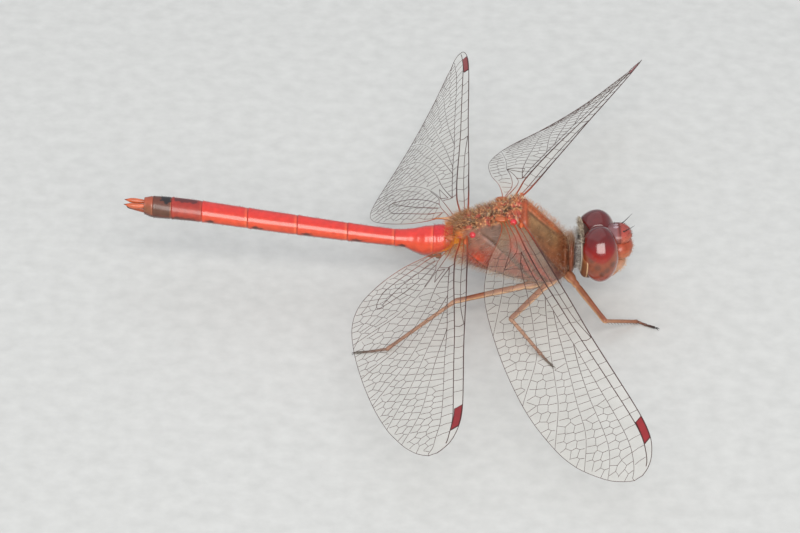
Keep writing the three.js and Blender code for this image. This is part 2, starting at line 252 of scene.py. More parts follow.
def add_camera():
    """The photo's view: from the animal's right side, looking down."""
    turns = ((CAMERA_AZIMUTH, "Z"), (90 - CAMERA_ELEVATION, "X"), (CAMERA_ROLL, "Z"))
    turn = Matrix.Identity(4)
    for degrees, axis in turns:
        turn = turn @ Matrix.Rotation(math.radians(degrees), 4, axis)
    data = bpy.data.cameras.new("camera")
    data.lens = LENS
    data.sensor_width = 36
    data.clip_start = 0.01
    data.clip_end = 20
    camera = add_object("camera", data)
    at = Vector(placed(TARGET)) + turn.col[2].xyz * CAMERA_DISTANCE * MM
    camera.matrix_world = Matrix.Translation(at) @ turn
    bpy.context.scene.camera = camera


def add_lamp(name, way, size, power, colour):
    """An area light of a width and height that looks at the animal from the given way."""
    data = bpy.data.lights.new(name, "AREA")
    data.shape = "RECTANGLE"
    data.size, data.size_y = size
    data.energy = power
    data.color = colour
    lamp = add_object(name, data)
    way = Vector(way).normalized()
    lamp.location = way * LAMP_DISTANCE
    lamp.rotation_euler = way.to_track_quat("Z", "Y").to_euler()


def add_studio():
    add_lamp("key_light", KEY_WAY, (0.72, 0.46), 6.6, (1.0, 0.97, 0.92))
    add_lamp("top_light", TOP_WAY, (1.2, 1.2), 1.8, (0.94, 0.97, 1.0))
    world = bpy.data.worlds.new("studio")
    world.use_nodes = True
    sky = world.node_tree.nodes["Background"].inputs
    sky["Color"].default_value = (0.82, 0.86, 0.92, 1)
    sky["Strength"].default_value = 0.55
    bpy.context.scene.world = world
    bpy.context.scene.view_settings.view_transform = "Standard"
    nodes = Nodes("pale_floor", rough=0.75)
    dark, pale = light((0.8, 0.8, 0.79)), light((0.84, 0.84, 0.83))
    nodes.feed("Base Color", nodes.ramp(nodes.noise(900, detail=4), (0.3, dark), (0.7, pale)))
    mesh = bpy.data.meshes.new("floor")
    corners = [(x * FLOOR_HALF, y * FLOOR_HALF, 0) for x, y in ((-1, -1), (1, -1), (1, 1), (-1, 1))]
    mesh.from_pydata(corners, [], [(0, 1, 2, 3)])
    mesh.materials.append(nodes.material)
    floor = add_object("floor", mesh)


# ---- shapes ----
class Shape:
    """Points in the model's millimetres, faces of three or four corners (-1 for no fourth), a
    linear colour for each point, and a place for each on the map that a bake uses."""

    def __init__(self, points, faces, colours, places=None):
        self.points = np.asarray(points, float).reshape(-1, 3)
        self.faces = np.asarray(faces, int).reshape(-1, 4)
        self.colours = np.broadcast_to(light(colours), self.points.shape)
        self.places = places


def merged(shapes):
    starts = np.cumsum([0] + [len(s.points) for s in shapes[:-1]])
    faces = [np.where(s.faces < 0, -1, s.faces + start) for s, start in zip(shapes, starts)]
    mapped = all(s.places is not None for s in shapes)
    places = np.concatenate([s.places for s in shapes]) if mapped else None
    points = np.concatenate([s.points for s in shapes])
    colours = np.concatenate([s.colours for s in shapes])
    return Shape(points, np.concatenate(faces), colours, places)


def mirrored(shape):
    """The same shape on the animal's other side."""
    faces = np.where(shape.faces[:, 3:] < 0, shape.faces[:, [2, 1, 0, 3]], shape.faces[:, ::-1])
    return Shape(shape.points * [1, -1, 1], faces, shape.colours, shape.places)


def turned(first, second, degrees):
    """Two coordinates, turned from the first axis towards the second."""
    cos, sin = math.cos(math.radians(degrees)), math.sin(math.radians(degrees))
    return first * cos - second * sin, first * sin + second * cos


def add_piece(name, shape, material, replaces=(), smooth=True, head=False):
    """Makes a shape into a piece of the model that stands for the named CAD nodes. A piece of the
    head is built facing ahead, and turned to the animal's left about the neck."""
    points = shape.points
    if head:
        x, y, z = (points - NECK).T
        points = np.stack([*turned(x, y, HEAD_TURN), z], -1) + NECK
    mesh = bpy.data.meshes.new(name)
    faces = [face[:3] if face[3] < 0 else face for face in shape.faces.tolist()]
    mesh.from_pydata(placed(points).tolist(), [], faces)
    paint = mesh.color_attributes.new("paint", "FLOAT_COLOR", "POINT")
    colours = np.ones((len(points), 4), np.float32)
    colours[:, :3] = np.clip(shape.colours, 0, 1)
    paint.data.foreach_set("color", colours.ravel())
    if shape.places is not None:
        corners = np.zeros(len(mesh.loops), np.int32)
        mesh.loops.foreach_get("vertex_index", corners)
        layer = mesh.uv_layers.new(name="OFBake")
        layer.uv.foreach_set("vector", shape.places[corners].astype(np.float32).ravel())
    mesh.polygons.foreach_set("use_smooth", [smooth] * len(mesh.polygons))
    mesh.materials.append(material)
    piece = add_object(name, mesh)
    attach(piece, "root")
    if replaces:
        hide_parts(*replaces)


def add_both(node, ending, left, material, head=False):
    """A piece for the left one of two nodes, and its mirror image for the right one."""
    for side, shape in (("left", left), ("right", mirrored(left))):
        add_piece(f"{node}_{side}_{ending}", shape, material, [f"{node}_{side}"], head=head)


def along(rows, x, column):
    """The value in one column of rows at x, on a smooth curve through the rows."""
    x = np.asarray(x, float)
    last = len(rows) - 1
    i = np.clip(np.searchsorted(rows[:, 0], x) - 1, 0, last - 1)

    def slope(k):
        low, high = np.maximum(k - 1, 0), np.minimum(k + 1, last)
        return (rows[high, column] - rows[low, column]) / (rows[high, 0] - rows[low, 0])

    span = rows[i + 1, 0] - rows[i, 0]
    t = np.clip((x - rows[i, 0]) / span, 0, 1)
    eased = t * t * (3 - 2 * t)
    bend = span * t * (1 - t) * ((1 - t) * slope(i) - t * slope(i + 1))
    return rows[i, column] * (1 - eased) + rows[i + 1, column] * eased + bend


def trunk_points(rows, x, angle, taper=0, scale=1.0):
    """Points of the trunk's outline at x and angle, which is 0 at the left and 90 degrees on top."""
    x, angle, scale = np.broadcast_arrays(np.asarray(x, float), angle, scale)
    top, bottom = along(rows, x, 1), along(rows, x, 2)
    across = scale * along(rows, x, 3) * np.cos(angle) * (1 - taper * np.maximum(np.sin(angle), 0))
    up = (top + bottom) / 2 + scale * (top - bottom) / 2 * np.sin(angle)
    return np.stack([x, across, up], -1)


def trunk_middle(rows, x):
    """The middle of the trunk at x."""
    return np.stack([x, np.zeros_like(x), (along(rows, x, 1) + along(rows, x, 2)) / 2], -1)


def degrees_down(angle):
    """How many degrees an angle round the trunk lies from the top, on either side."""
    return np.abs((np.degrees(angle) - 90 + 180) % 360 - 180)


def full_turn(count):
    return 2 * np.pi * np.arange(count) / count


def sheet_faces(rows, columns, closed=False):
    """Four-cornered faces over a grid of points. A closed sheet joins its last column to its first."""
    i, j = np.meshgrid(np.arange(rows - 1), np.arange(columns - (not closed)), indexing="ij")
    a, b = i * columns + j, i * columns + (j + 1) % columns
    return np.stack([a, b, b + columns, a + columns], -1).reshape(-1, 4)


def closed_skin(grid, colours):
    """A closed surface over rings of points, shape (rings, points in a ring, 3), with a fan of faces
    over each end."""
    rings, around = grid.shape[:2]

    def with_ends(values):
        return np.concatenate([values.reshape(-1, 3), [values[0].mean(0), values[-1].mean(0)]])

    j = np.arange(around)
    following = (j + 1) % around
    none = np.full(around, -1)
    start = (rings - 1) * around
    first = np.stack([none + 1 + rings * around, following, j, none], -1)
    last = np.stack([none + 2 + rings * around, start + j, start + following, none], -1)
    faces = np.concatenate([sheet_faces(rings, around, True), first, last])
    return Shape(with_ends(grid), faces, with_ends(np.broadcast_to(light(colours), grid.shape)))


def unit(vectors):
    vectors = np.asarray(vectors, float)
    return vectors / np.maximum(np.linalg.norm(vectors, axis=-1, keepdims=True), 1e-12)


def line_points(ends, share):
    """Points at shares of the way between two ends."""
    start, end = np.array(ends, float)
    return start + share[:, None] * (end - start)


def tube(path, radii, colours, sides=10, up=(0, 0, 1), flatten=1.0, places=None):
    """A closed tube along path. radii is one radius or one for each point. flatten squeezes it
    along up. places gives each point of the path its place on a bake's map."""
    ahead = unit(np.gradient(path, axis=0))
    side = unit(np.cross(ahead, np.broadcast_to(up, path.shape)))
    angle = full_turn(sides)[:, None]
    ring = side[:, None] * np.cos(angle) + np.cross(side, ahead)[:, None] * np.sin(angle) * flatten
    grid = path[:, None] + ring * np.broadcast_to(radii, len(path))[:, None, None]
    colours = light(colours)
    shape = closed_skin(grid, colours[:, None] if colours.ndim == 2 else colours)
    if places is not None:
        across = np.stack([np.zeros(sides), np.abs(1 - 2 * np.arange(sides) / sides)], -1) * TUFT_PATCH
        spots = places[:, None] + across
        shape.places = np.concatenate([spots.reshape(-1, 2), spots[0, :1], spots[-1, :1]])
    return shape


SPIKE_FACES = np.array([
    [0, 1, 4, 3], [1, 2, 5, 4], [2, 0, 3, 5], [3, 4, 6, -1], [4, 5, 6, -1], [5, 3, 6, -1], [2, 1, 0, -1],
])
SPIKE_PATCH = np.array([(0, 0), (1, 0), (2, 0), (0, 1.5), (1, 1.5), (2, 1.5), (1.5, 3)]) / 3


def spikes(roots, middles, tips, radius, colours, places):
    """Tapering three-sided hairs or spines, each bent at its middle. radius is that at the roots."""
    count = len(roots)
    ahead = unit(tips - roots)
    helper = np.where(np.abs(ahead[:, 2:]) > 0.8, [[1.0, 0, 0]], [[0, 0, 1.0]])
    side = unit(np.cross(ahead, helper))
    angle = full_turn(3)[:, None]
    ring = (side[:, None] * np.cos(angle) + np.cross(ahead, side)[:, None] * np.sin(angle)) * radius
    points = np.concatenate([roots[:, None] + ring, middles[:, None] + ring * 0.7, tips[:, None]], 1)
    faces = np.where(SPIKE_FACES < 0, -1, SPIKE_FACES + 7 * np.arange(count)[:, None, None])
    shades = np.repeat(np.broadcast_to(light(colours), (count, 3)), 7, 0)
    spots = places[:, None] + SPIKE_PATCH * TUFT_PATCH
    return Shape(points, faces, shades, spots.reshape(-1, 2))


def ellipsoid(at, radii, lean=0, columns=56, rows=36, sculpt=None, paint=None):
    """An ellipsoid about the way up. sculpt gives the share of all radii, or of each, and paint the
    colour, both from the three parts of unit directions. paint may also be one colour."""
    lift = np.linspace(-np.pi / 2, np.pi / 2, rows + 2)[1:-1, None]
    turn = full_turn(columns)[None]
    ways = np.stack([np.cos(lift) * np.cos(turn), np.cos(lift) * np.sin(turn), np.sin(lift) + 0 * turn])
    shares = sculpt(*ways) if sculpt else 1
    x, y, z = ways * shares * np.array(radii)[:, None, None]
    grid = np.stack([x, *turned(y, z, lean)], -1) + np.array(at)
    return closed_skin(grid, paint(*ways) if callable(paint) else paint)


# ---- head ----
# Where the eyes meet, and how far back they reach: in the hollow behind the head and at its sides.
EYE_SEAM = 0.01
SEAM_ROUND = 0.022
EYE_BACK_INNER = 4.4
EYE_BACK_OUTER = 4.27
# Brown spots on the eye's lower part: degrees ahead of straight out, and height.
EYE_SPOTS = [(-32, -0.08), (-13, -0.36), (19, -0.46), (2, -0.62), (40, -0.25)]


def eye_sculpt(x, y, z):
    """The eye's upper part reaches back a little, and in over the head to meet the other eye."""
    upper = rise(z, 0.1, 0.5)
    inner = upper * rise(y, 0, -0.5)
    back = (0.03 + 0.15 * rise(z, -0.08, 0.33)) * rise(x, 0.3, -0.8)
    return 1 + np.stack([back + 0.14 * upper * rise(y, -0.1, -0.6), 0.45 * inner, 0.03 * inner])


def eye_paint(x, y, z):
    """Maroon above, red and then orange down to a V on the outer side, pinkish brown below."""
    outward = np.degrees(np.arctan2(np.abs(x), y))
    ahead = np.degrees(np.arctan2(x, y))
    climb = 0.5 + 0.3 * rise(x, 0, 0.5)
    border = -0.2 + climb * (np.clip(outward, 0, 80) / 75) ** 1.5 - 1.2 * rise(outward, 88, 125)
    tip = bump_at(outward, 0, 34) * rise(z - border, 0.42, 0.04)
    upper = coats((0.5, 0.06, 0.05), (0.37, 0.08, 0.08, rise(z, 0.1, 0.7)), (0.55, 0.12, 0.02, 0.9 * tip))
    lower = coats(
        (0.52, 0.25, 0.14),
        (0.57, 0.22, 0.17, rise(z, -0.5, -0.9)),
        (0.52, 0.2, 0.12, rise(outward, 40, 75)),
    )
    for spot_ahead, spot_z in EYE_SPOTS:
        away = np.hypot((ahead - spot_ahead) / 13, (z - spot_z) / 0.13)
        lower = coats(lower, (0.3, 0.19, 0.14, 0.65 * rise(away, 1.3, 0.3)))
    return blend(lower, upper, rise(z - border, -0.06, 0.06))


def add_eyes():
    nodes = Nodes("eye_lens", rough=0.1, coat=0.65, coat_rough=0.04)
    nodes.mottle(nodes.noise(3000, detail=5), 0.12)
    facets = {"Scale": 26000, "Vector": nodes.add("TexCoord", "Object", {})}
    nodes.bump(nodes.add("TexVoronoi", "Distance", facets), 2e-6)
    left = ellipsoid(**EYE, columns=96, rows=64, sculpt=eye_sculpt, paint=eye_paint)
    x, y, _ = left.points.T
    back = EYE_BACK_INNER + (EYE_BACK_OUTER - EYE_BACK_INNER) * rise(y, 1.4, 1.8)
    left.points[:, 0] = np.maximum(x, back)
    left.points[:, 1] = EYE_SEAM + SEAM_ROUND * np.logaddexp(0, (y - EYE_SEAM) / SEAM_ROUND)
    add_both("eye", "lens", left, nodes.material, head=True)


def frons_sculpt(x, y, z):
    middle = bump_at(y, 0, 0.13) * rise(x, 0.1, 0.6)
    shelf = bump_at(z, 0.3, 0.1) * rise(x, 0.2, 0.6)
    return 1 - 0.07 * middle * rise(z, -0.6, 0.2) - 0.04 * shelf


def frons_paint(x, y, z):
    return coats(
        (0.72, 0.38, 0.29),
        (0.66, 0.28, 0.24, rise(z, -0.1, 0.7)),
        # Painted sheen: pale lilac at the back, below the vertex.
        (0.5, 0.33, 0.34, rise(x, 0.1, -0.15)),
        # Painted shade: a dark band in the groove between the vertex and the frons.
        (0.3, 0.09, 0.08, 0.85 * bump_at(x, 0.08, 0.1)),
    )


def clypeus_sculpt(x, y, z):
    return 1 - 0.07 * bump_at(z, -0.15, 0.08) * rise(x, 0, 0.5)


def clypeus_paint(x, y, z):
    return coats(
        (0.7, 0.4, 0.26),
        (0.64, 0.27, 0.16, rise(z, -0.4, 0.5)),
        # Painted shade: darker at the back, where the clypeus meets the eyes.
        (0.45, 0.16, 0.12, 0.7 * rise(x, 0.1, -0.3)),
    )


def lip_sculpt(x, y, z):
    return 1 - 0.05 * bump_at(y, 0, 0.12) * rise(z, 0.3, -0.4)


def tan_paint(x, y, z):
    return coats((0.76, 0.6, 0.5), (0.7, 0.49, 0.38, rise(z, -0.7, 0.5)))


def vertex_sculpt(x, y, z):
    return 1 - 0.16 * bump_at(y, 0, 0.2) * rise(z, 0.3, 0.9)


def vertex_paint(x, y, z):
    # Dark red, with a pale lilac top that is a painted sheen.
    return coats((0.4, 0.17, 0.16), (0.66, 0.55, 0.58, rise(z, -0.1, 0.6)))


def add_face():
    skin = shell_material("face_shell", rough=0.34, coat=0.2, mottle=0.16)
    for node, form, sculpt, paint in [
        ("frons", FRONS, frons_sculpt, frons_paint),
        ("clypeus", CLYPEUS, clypeus_sculpt, clypeus_paint),
        ("labrum", LABRUM, lip_sculpt, tan_paint),
        ("labium", LABIUM, lip_sculpt, tan_paint),
    ]:
        shape = ellipsoid(**form, sculpt=sculpt, paint=paint)
        add_piece(f"{node}_shell", shape, skin, [node], head=True)
    mandible = ellipsoid((6.25, 0.95, 3.75), (0.5, 0.34, 0.62), lean=-12, paint=tan_paint)
    add_piece("mandibles", merged([mandible, mirrored(mandible)]), skin, head=True)
    shiny = shell_material("vertex_shell", rough=0.18, coat=0.8)
    vertex = ellipsoid(**VERTEX, sculpt=vertex_sculpt, paint=vertex_paint)
    add_piece("vertex_shell", vertex, shiny, ["vertex"], head=True)
    middle, side = (
        ellipsoid(at, radii, columns=20, rows=12, paint=(0.55, 0.4, 0.3))
        for at, radii in [((6.95, 0, 5.86), (0.1, 0.12, 0.11)), ((6.58, 0.42, 5.92), (0.1, 0.09, 0.1))]
    )
    glass = painted_material("ocellus_lens", rough=0.08, coat=1.0)
    add_piece("ocelli", merged([middle, side, mirrored(side)]), glass, head=True)


def add_antennae():
    """Each has two short thick joints and a bristle that curves up and ahead."""
    share = np.array([-0.1, 0.05, 0.18, 0.2, 0.24, 0.34, 0.36, 0.5, 0.75, 1.0])
    radii = np.array([0.085, 0.09, 0.085, 0.06, 0.065, 0.06, 0.03, 0.024, 0.016, 0.006])
    path = line_points(ANTENNA, share) + np.outer(share**2, [0, 0, 0.12])
    left = tube(path, radii, coats((0.3, 0.14, 0.1), (0.07, 0.05, 0.05, rise(share, 0, 0.4))))
    add_both("antenna", "bristle", left, shell_material("feeler_shell", rough=0.4), head=True)


def capsule_surface(x, angle, scale=1.0):
    """Points of the back of the head. It draws in where the eyes' upper parts lie over it."""
    points = trunk_points(HEAD_CAPSULE, x, angle, CAPSULE_TAPER, scale)
    at, down = points[..., 0], degrees_down(angle)
    edge = 4.38 - 0.12 * rise(down, 35, 60)
    draw = 0.13 * rise(at - edge, 0, 0.1) * rise(down, 88, 74)
    points[..., 1] *= 1 - draw
    drop = 0.3 * rise(at, 4.4, 4.9) * rise(down, 80, 40)
    points[..., 2] += (trunk_middle(HEAD_CAPSULE, at)[..., 2] - points[..., 2]) * draw - drop
    return points


def add_head_capsule():
    """The back of the head: brown behind the eyes, with a pale rim and a dark hollow round the neck."""
    angle = full_turn(120)
    shrink = np.linspace(0.75, 0, 5)[:-1, None]
    hollow = capsule_surface(np.full((4, 1), HEAD_BACK), angle, 1 - shrink)
    hollow[..., 0] += 0.25 * shrink
    x = np.concatenate([np.linspace(HEAD_BACK, 4.5, 20), np.linspace(4.56, 5.8, 24)])[:, None]
    grid = np.concatenate([hollow, capsule_surface(x, angle)])
    at, down = grid[..., 0], degrees_down(angle)
    colour = coats(
        (0.5, 0.29, 0.14),
        (0.37, 0.18, 0.1, rise(at, 4.3, 4.7)),
        (0.27, 0.16, 0.11, rise(down, 66, 48)),
        (0.88, 0.86, 0.8, bump_at(at, 4.22, 0.05 - 0.025 * rise(down, 75, 95))),
        (0.9, 0.76, 0.58, 0.9 * bump_at(at, 4.55, 0.022) * rise(down, 70, 90)),
    )
    colour[:4] = light((0.3, 0.27, 0.26))
    material = shell_material("head_shell", rough=0.55, mottle=0.2)
    capsule = closed_skin(grid, colour)
    add_piece("head_capsule_shell", capsule, material, ["head_capsule"], head=True)


# ---- thorax ----
# Lines on the thorax: x, degrees down from the top.
HUMERAL_SUTURE = [(0.55, 48), (1.4, 64), (2.5, 84), (3.1, 104)]
MIDDLE_SUTURE = [(0.2, 78), (1.0, 98), (1.9, 122), (2.4, 140)]
METAPLEURAL_SUTURE = [(-2.2, 56), (-1.0, 82), (0.3, 112), (1.3, 138)]
HIND_SUTURE = [(-3.5, 60), (-3.0, 96), (-1.8, 128), (-0.2, 150)]
# The width and the strength of the dark line along each.
SUTURES = [
    (HUMERAL_SUTURE, 0.08, 0.7), (MIDDLE_SUTURE, 0.05, 0.45),
    (METAPLEURAL_SUTURE, 0.05, 0.45), (HIND_SUTURE, 0.06, 0.7),
]
# Plates between the wings and the gaps between them: x, height and width.
PLATES = [(0.1, 0.07, 0.3), (-1.15, 0.05, 0.22), (-2.1, 0.05, 0.28), (-3.05, 0.05, 0.2)]
PLATE_GAPS = [(-0.7, -0.12, 0.1), (-1.6, -0.12, 0.1), (-2.65, -0.12, 0.1)]
MM_PER_DEGREE = 0.042
NORMAL_STEP = 0.01  # how far apart the points of a surface are that give its normal


def line_gap(x, down, line):
    """How far, in millimetres, points of the thorax lie from a line on it."""
    here = np.stack([x, down * MM_PER_DEGREE], -1)
    stops = np.array(line) * [1, MM_PER_DEGREE]
    gaps = []
    for start, end in zip(stops, stops[1:]):
        way = end - start
        share = np.clip(((here - start) @ way) / (way @ way), 0, 1)
        gaps.append(np.linalg.norm(here - start - share[..., None] * way, axis=-1))
    return np.min(gaps, axis=0)


def below_line(x, down, line):
    """1 behind and below a line that slants down towards the head, 0 ahead of and above it."""
    line_x, line_down = np.transpose(line)
    return rise(np.interp(down, line_down, line_x) - x, -0.06, 0.06)


def thorax_sculpt(x, down, across):
    """How far the thorax's surface stands out from the plain outline, in millimetres."""
    lift = 0.05 * bump_at(down, 0, 3) * rise(x, 0.7, 1.0)
    lift += 0.07 * bump_at(x, 0.72, 0.09) * rise(down, 55, 40)
    for line, _, _ in SUTURES:
        lift -= 0.05 * bump_at(line_gap(x, down, line), 0, 0.07)
    plates = sum(height * bump_at(x, at, width) for at, height, width in PLATES + PLATE_GAPS)
    plates -= 0.1 * bump_at(np.abs(across), 0.62, 0.1)
    lift += plates * rise(x, 0.55, 0.35) * rise(down, 52, 40)
    lift -= 0.1 * rise(x, -1.6, -0.6) * rise(down, 60, 30)
    return lift - 0.08 * bump_at(x, 3.25, 0.08)


def speckle(x, down, size):
    """Uneven shares from 0 to 1 over the thorax, in patches of a size in millimetres."""
    at = np.stack([x, down * MM_PER_DEGREE, 0 * x], -1) / size
    values = [noise.noise(Vector(place)) for place in at.reshape(-1, 3)]
    return 0.5 + 0.5 * np.reshape(values, x.shape)


def thorax_paint(x, down, across):
    """Golden olive in front, reddish brown and mauve at the sides, brown plates between the wings."""
    front = coats(
        (0.51, 0.38, 0.25),
        (0.42, 0.22, 0.09, rise(down, 25, 75)),
        (0.5, 0.23, 0.13, rise(x, 1.1, 0.6)),
        (0.7, 0.33, 0.14, bump_at(down, 6, 9) * rise(x, 0.6, 1.0)),
        (0.82, 0.48, 0.34, 0.7 * bump_at(down, 16, 3.5) * rise(x, 0.7, 1.0) * rise(x, 2.3, 1.7)),
        (0.32, 0.18, 0.11, 0.6 * bump_at(down, 23, 3) * rise(x, 0.7, 1.1)),
        (0.42, 0.22, 0.12, rise(x, 2.5, 3.2)),
    )
    side = coats(
        (0.42, 0.3, 0.24),
        (0.36, 0.18, 0.14, rise(down, 75, 105)),
        (0.66, 0.2, 0.15, 0.7 * bump_at(line_gap(x, down, MIDDLE_SUTURE), 0.35, 0.22)),
    )
    rear = coats(
        (0.52, 0.34, 0.27),
        (0.54, 0.27, 0.22, rise(down, 75, 100)),
        (0.76, 0.26, 0.14, 0.9 * bump_at(np.hypot(x + 2.3, (down - 103) * MM_PER_DEGREE), 0, 0.6)),
    )
    across, grains = np.abs(across), speckle(x, down, 0.14)
    plates = coats(
        (0.56, 0.35, 0.23),
        (0.7, 0.4, 0.22, bump_at(x, -1.1, 0.25) + bump_at(x, 0.05, 0.25)),
        (0.66, 0.22, 0.18, 0.7 * bump_at(across, 1.1, 0.25) * rise(x, -1.2, -0.6)),
        (0.18, 0.13, 0.12, 0.8 * bump_at(across, 0.62, 0.12)),
        *((0.2, 0.15, 0.13, 0.75 * bump_at(x, gap_x, 0.11)) for gap_x, _, _ in PLATE_GAPS),
        (0.76, 0.25, 0.23, 0.6 * rise(speckle(x, down, 0.5), 0.55, 0.68)),
        (0.2, 0.13, 0.11, 0.8 * rise(grains, 0.44, 0.3)),
        (0.88, 0.66, 0.44, 0.7 * rise(grains, 0.58, 0.7)),
    )
    colour = blend(front, side, below_line(x, down, HUMERAL_SUTURE))
    colour = blend(colour, rear, below_line(x, down, METAPLEURAL_SUTURE))
    crest = bump_at(x, 0.55, 0.22) * rise(down, 56, 46)
    colour = coats(colour, (0.62, 0.27, 0.13, 0.9 * np.clip(crest * 1.6, 0, 1)))
    colour = blend(colour, plates, rise(x, 0.5, 0.3) * rise(down, 50, 42))
    colour = np.clip(colour * (1 + 0.25 * (speckle(x, down, 0.3) - 0.5))[..., None], 0, 1)
    for line, width, strength in SUTURES:
        colour = coats(colour, (0.22, 0.12, 0.09, strength * bump_at(line_gap(x, down, line), 0, width)))
    return coats(
        colour,
        (0.84, 0.46, 0.14, 0.9 * bump_at(x, -3.55, 0.3) * rise(down, 30, 55) * rise(down, 120, 90)),
        (0.42, 0.3, 0.27, 0.7 * rise(down, 128, 150)),
        (0.2, 0.11, 0.08, 0.8 * rise(x, 3.35, 3.6)),
    )


def thorax_surface(x, angle):
    """Points and outward normals of the finished thorax at x and angle."""
    def at(x, angle):
        plain = trunk_points(THORAX, x, angle, THORAX_TAPER)
        lift = thorax_sculpt(x, degrees_down(angle), plain[..., 1])
        return plain + unit(plain - trunk_middle(THORAX, x)) * lift[..., None]

    here = at(x, angle)
    return here, unit(np.cross(at(x, angle + NORMAL_STEP) - here, at(x + NORMAL_STEP, angle) - here))


def add_thorax():
    x = np.concatenate([[-3.95, -3.93, -3.88], np.linspace(-3.8, 3.5, 170), [3.56, 3.6, 3.62]])
    x, angle = np.meshgrid(x, full_turn(150), indexing="ij")
    grid, _ = thorax_surface(x, angle)
    skin = closed_skin(grid, thorax_paint(x, degrees_down(angle), grid[..., 1]))
    material = shell_material(
        "thorax_shell", rough=0.42, coat=0.12, mottle=0.3, grain=9000, grain_height=1.2e-5
    )
    add_piece("thorax_skin", skin, material, ["thorax"])
    x = np.linspace(3.25, 4.5, 40)[:, None]
    collar = 1 + 0.1 * bump_at(x, 3.72, 0.1) - 0.12 * bump_at(x, 3.98, 0.06)
    colour = coats(
        (0.5, 0.28, 0.19),
        (0.4, 0.35, 0.34, rise(x, 3.82, 3.95)),
        (0.16, 0.09, 0.07, bump_at(x, 3.5, 0.06)),
    )
    skin = closed_skin(trunk_points(PROTHORAX, x, full_turn(96), scale=collar), colour)
    add_piece("prothorax_skin", skin, material, ["prothorax"])


# ---- abdomen ----
# Colours of a ring's top and sides, for the rings that differ.
RING_TONES = {
    1: ((0.77, 0.08, 0.11), (0.82, 0.27, 0.15)),
    2: ((0.77, 0.08, 0.11), (0.82, 0.27, 0.15)),
    9: ((0.38, 0.19, 0.13), (0.35, 0.21, 0.14)),
    10: ((0.62, 0.29, 0.19), (0.52, 0.31, 0.2)),
}
USUAL_TONES = ((0.81, 0.16, 0.12), (0.82, 0.27, 0.13))
# How far a ring's front edge tucks into the one ahead: the first ring's into the thorax, and the rest.
FIRST_TUCK = 0.3
TUCK = 0.12


def ring_length(number):
    return SEGMENT_ENDS[number - 1] - SEGMENT_ENDS[number]


def ring_paint(number, share, down, x):
    """Glossy red above, more orange at the sides and brown below, the brown partly painted shade, with dark
    joints and side spots.
    """
    waver = 0.5 * np.sin(9.1 * x + 0.21 * down) + 0.5 * np.sin(17.3 * x - 0.13 * down + 1.0)
    share = share + 0.02 * waver * rise(share, 0.03, 0.1) * rise(share, 0.96, 0.9)
    down = down + 5 * waver
    layers = [
        # The next two layers darken the underside: partly the rings' own brown, partly painted shade.
        (0.57, 0.16, 0.08, 0.6 * rise(down, 96, 124)),
        (0.4, 0.17, 0.12, rise(down, 128, 150)),
        (0.92, 0.5, 0.3, 0.3 * bump_at(share, 0.03, 0.025)),
    ]
    if number > 2:
        layers.append((0.42, 0.09, 0.1, 0.6 * rise(share, 0.975, 0.99)))
        layers.append((0.4, 0.12, 0.1, 0.3 * rise(share, 0.015, 0.0)))
    else:
        layers.append((0.58, 0.08, 0.08, 0.6 * rise(share, 0.97, 0.99)))
    if 3 <= number <= 8:
        spot = np.hypot((share - 0.8) / 0.12, (down - 112) / 15)
        layers.append((0.13, 0.07, 0.06, 0.85 * rise(spot, 1.25, 0.6)))
    if number == 8:
        streak = bump_at(down, 0, 22) * rise(share, 0.0, 0.25) * rise(share, 1.0, 0.8)
        layers.append((0.52, 0.17, 0.13, 0.7))
        layers.append((0.22, 0.07, 0.09, 0.8 * rise(streak, 0.3, 0.7)))
        layers.append((0.26, 0.13, 0.09, 0.75 * rise(down, 96, 112) * rise(share, 0.12, 0.3)))
    if number == 9:
        spot = np.hypot((share - 0.3) / 0.3, (down + 3 * waver) / 40) + 0.1 * waver
        layers.append((0.06, 0.05, 0.07, 0.95 * rise(spot, 1.1, 0.85)))
    if number >= 9:
        layers.append((0.26, 0.14, 0.08, 0.8 * rise(down, 98, 122)))
    return coats(blend(*RING_TONES.get(number, USUAL_TONES), rise(down, 30, 88)), *layers)


def ring_surface(number, share, angle):
    """Points of one ring of the abdomen, at a share of its length from the front and an angle."""
    down = degrees_down(angle)
    scale = 0.985 + 0.02 * rise(share, 0.0, 0.12) + 0.03 * rise(share, 0.86, 0.97)
    scale = scale * (1 - 0.05 * rise(share, 0.975, 1.0))
    scale = scale + 0.012 * bump_at(down, 0, 4) + 0.014 * bump_at(down, 112, 4)
    scale = scale - 0.05 * bump_at(down, 142, 9) + 0.02 * bump_at(down, 180, 10)
    if number in (2, 3):
        for wrinkle in (0.22, 0.42, 0.62):
            scale = scale + 0.012 * bump_at(share, wrinkle, 0.05) * rise(down, 130, 100)
    x = SEGMENT_ENDS[number - 1] - share * ring_length(number)
    return trunk_points(ABDOMEN, x, angle, ABDOMEN_TAPER, scale)


def add_abdomen():
    red = shell_material("abdomen_shell", rough=0.3, coat=0.55, mottle=0.12, grain=15000, grain_height=5e-6)
    brown = shell_material("tail_shell", rough=0.38, coat=0.3, mottle=0.15)
    for number in range(1, 11):
        share = np.linspace(0, 1, 14 + int(14 * ring_length(number)))
        share, angle = np.meshgrid(share, full_turn(96), indexing="ij")
        grid = ring_surface(number, share, angle)
        colour = ring_paint(number, share, degrees_down(angle), grid[..., 0])
        middle = grid[:1].mean(1)
        tucked = middle + (grid[:1] - middle) * 0.9 + [FIRST_TUCK if number == 1 else TUCK, 0, 0]
        dark = np.broadcast_to(light((0.25, 0.1, 0.08)), tucked.shape)
        shell = closed_skin(np.concatenate([tucked, grid]), np.concatenate([dark, colour]))
        node = f"abdomen_s{number}"
        add_piece(f"{node}_shell", shell, red if number < 8 else brown, [node])
    add_tail(brown)


def organ_paint(x, y, z):
    return coats((0.48, 0.24, 0.14), (0.2, 0.1, 0.08, rise(z, 0, -0.8)))


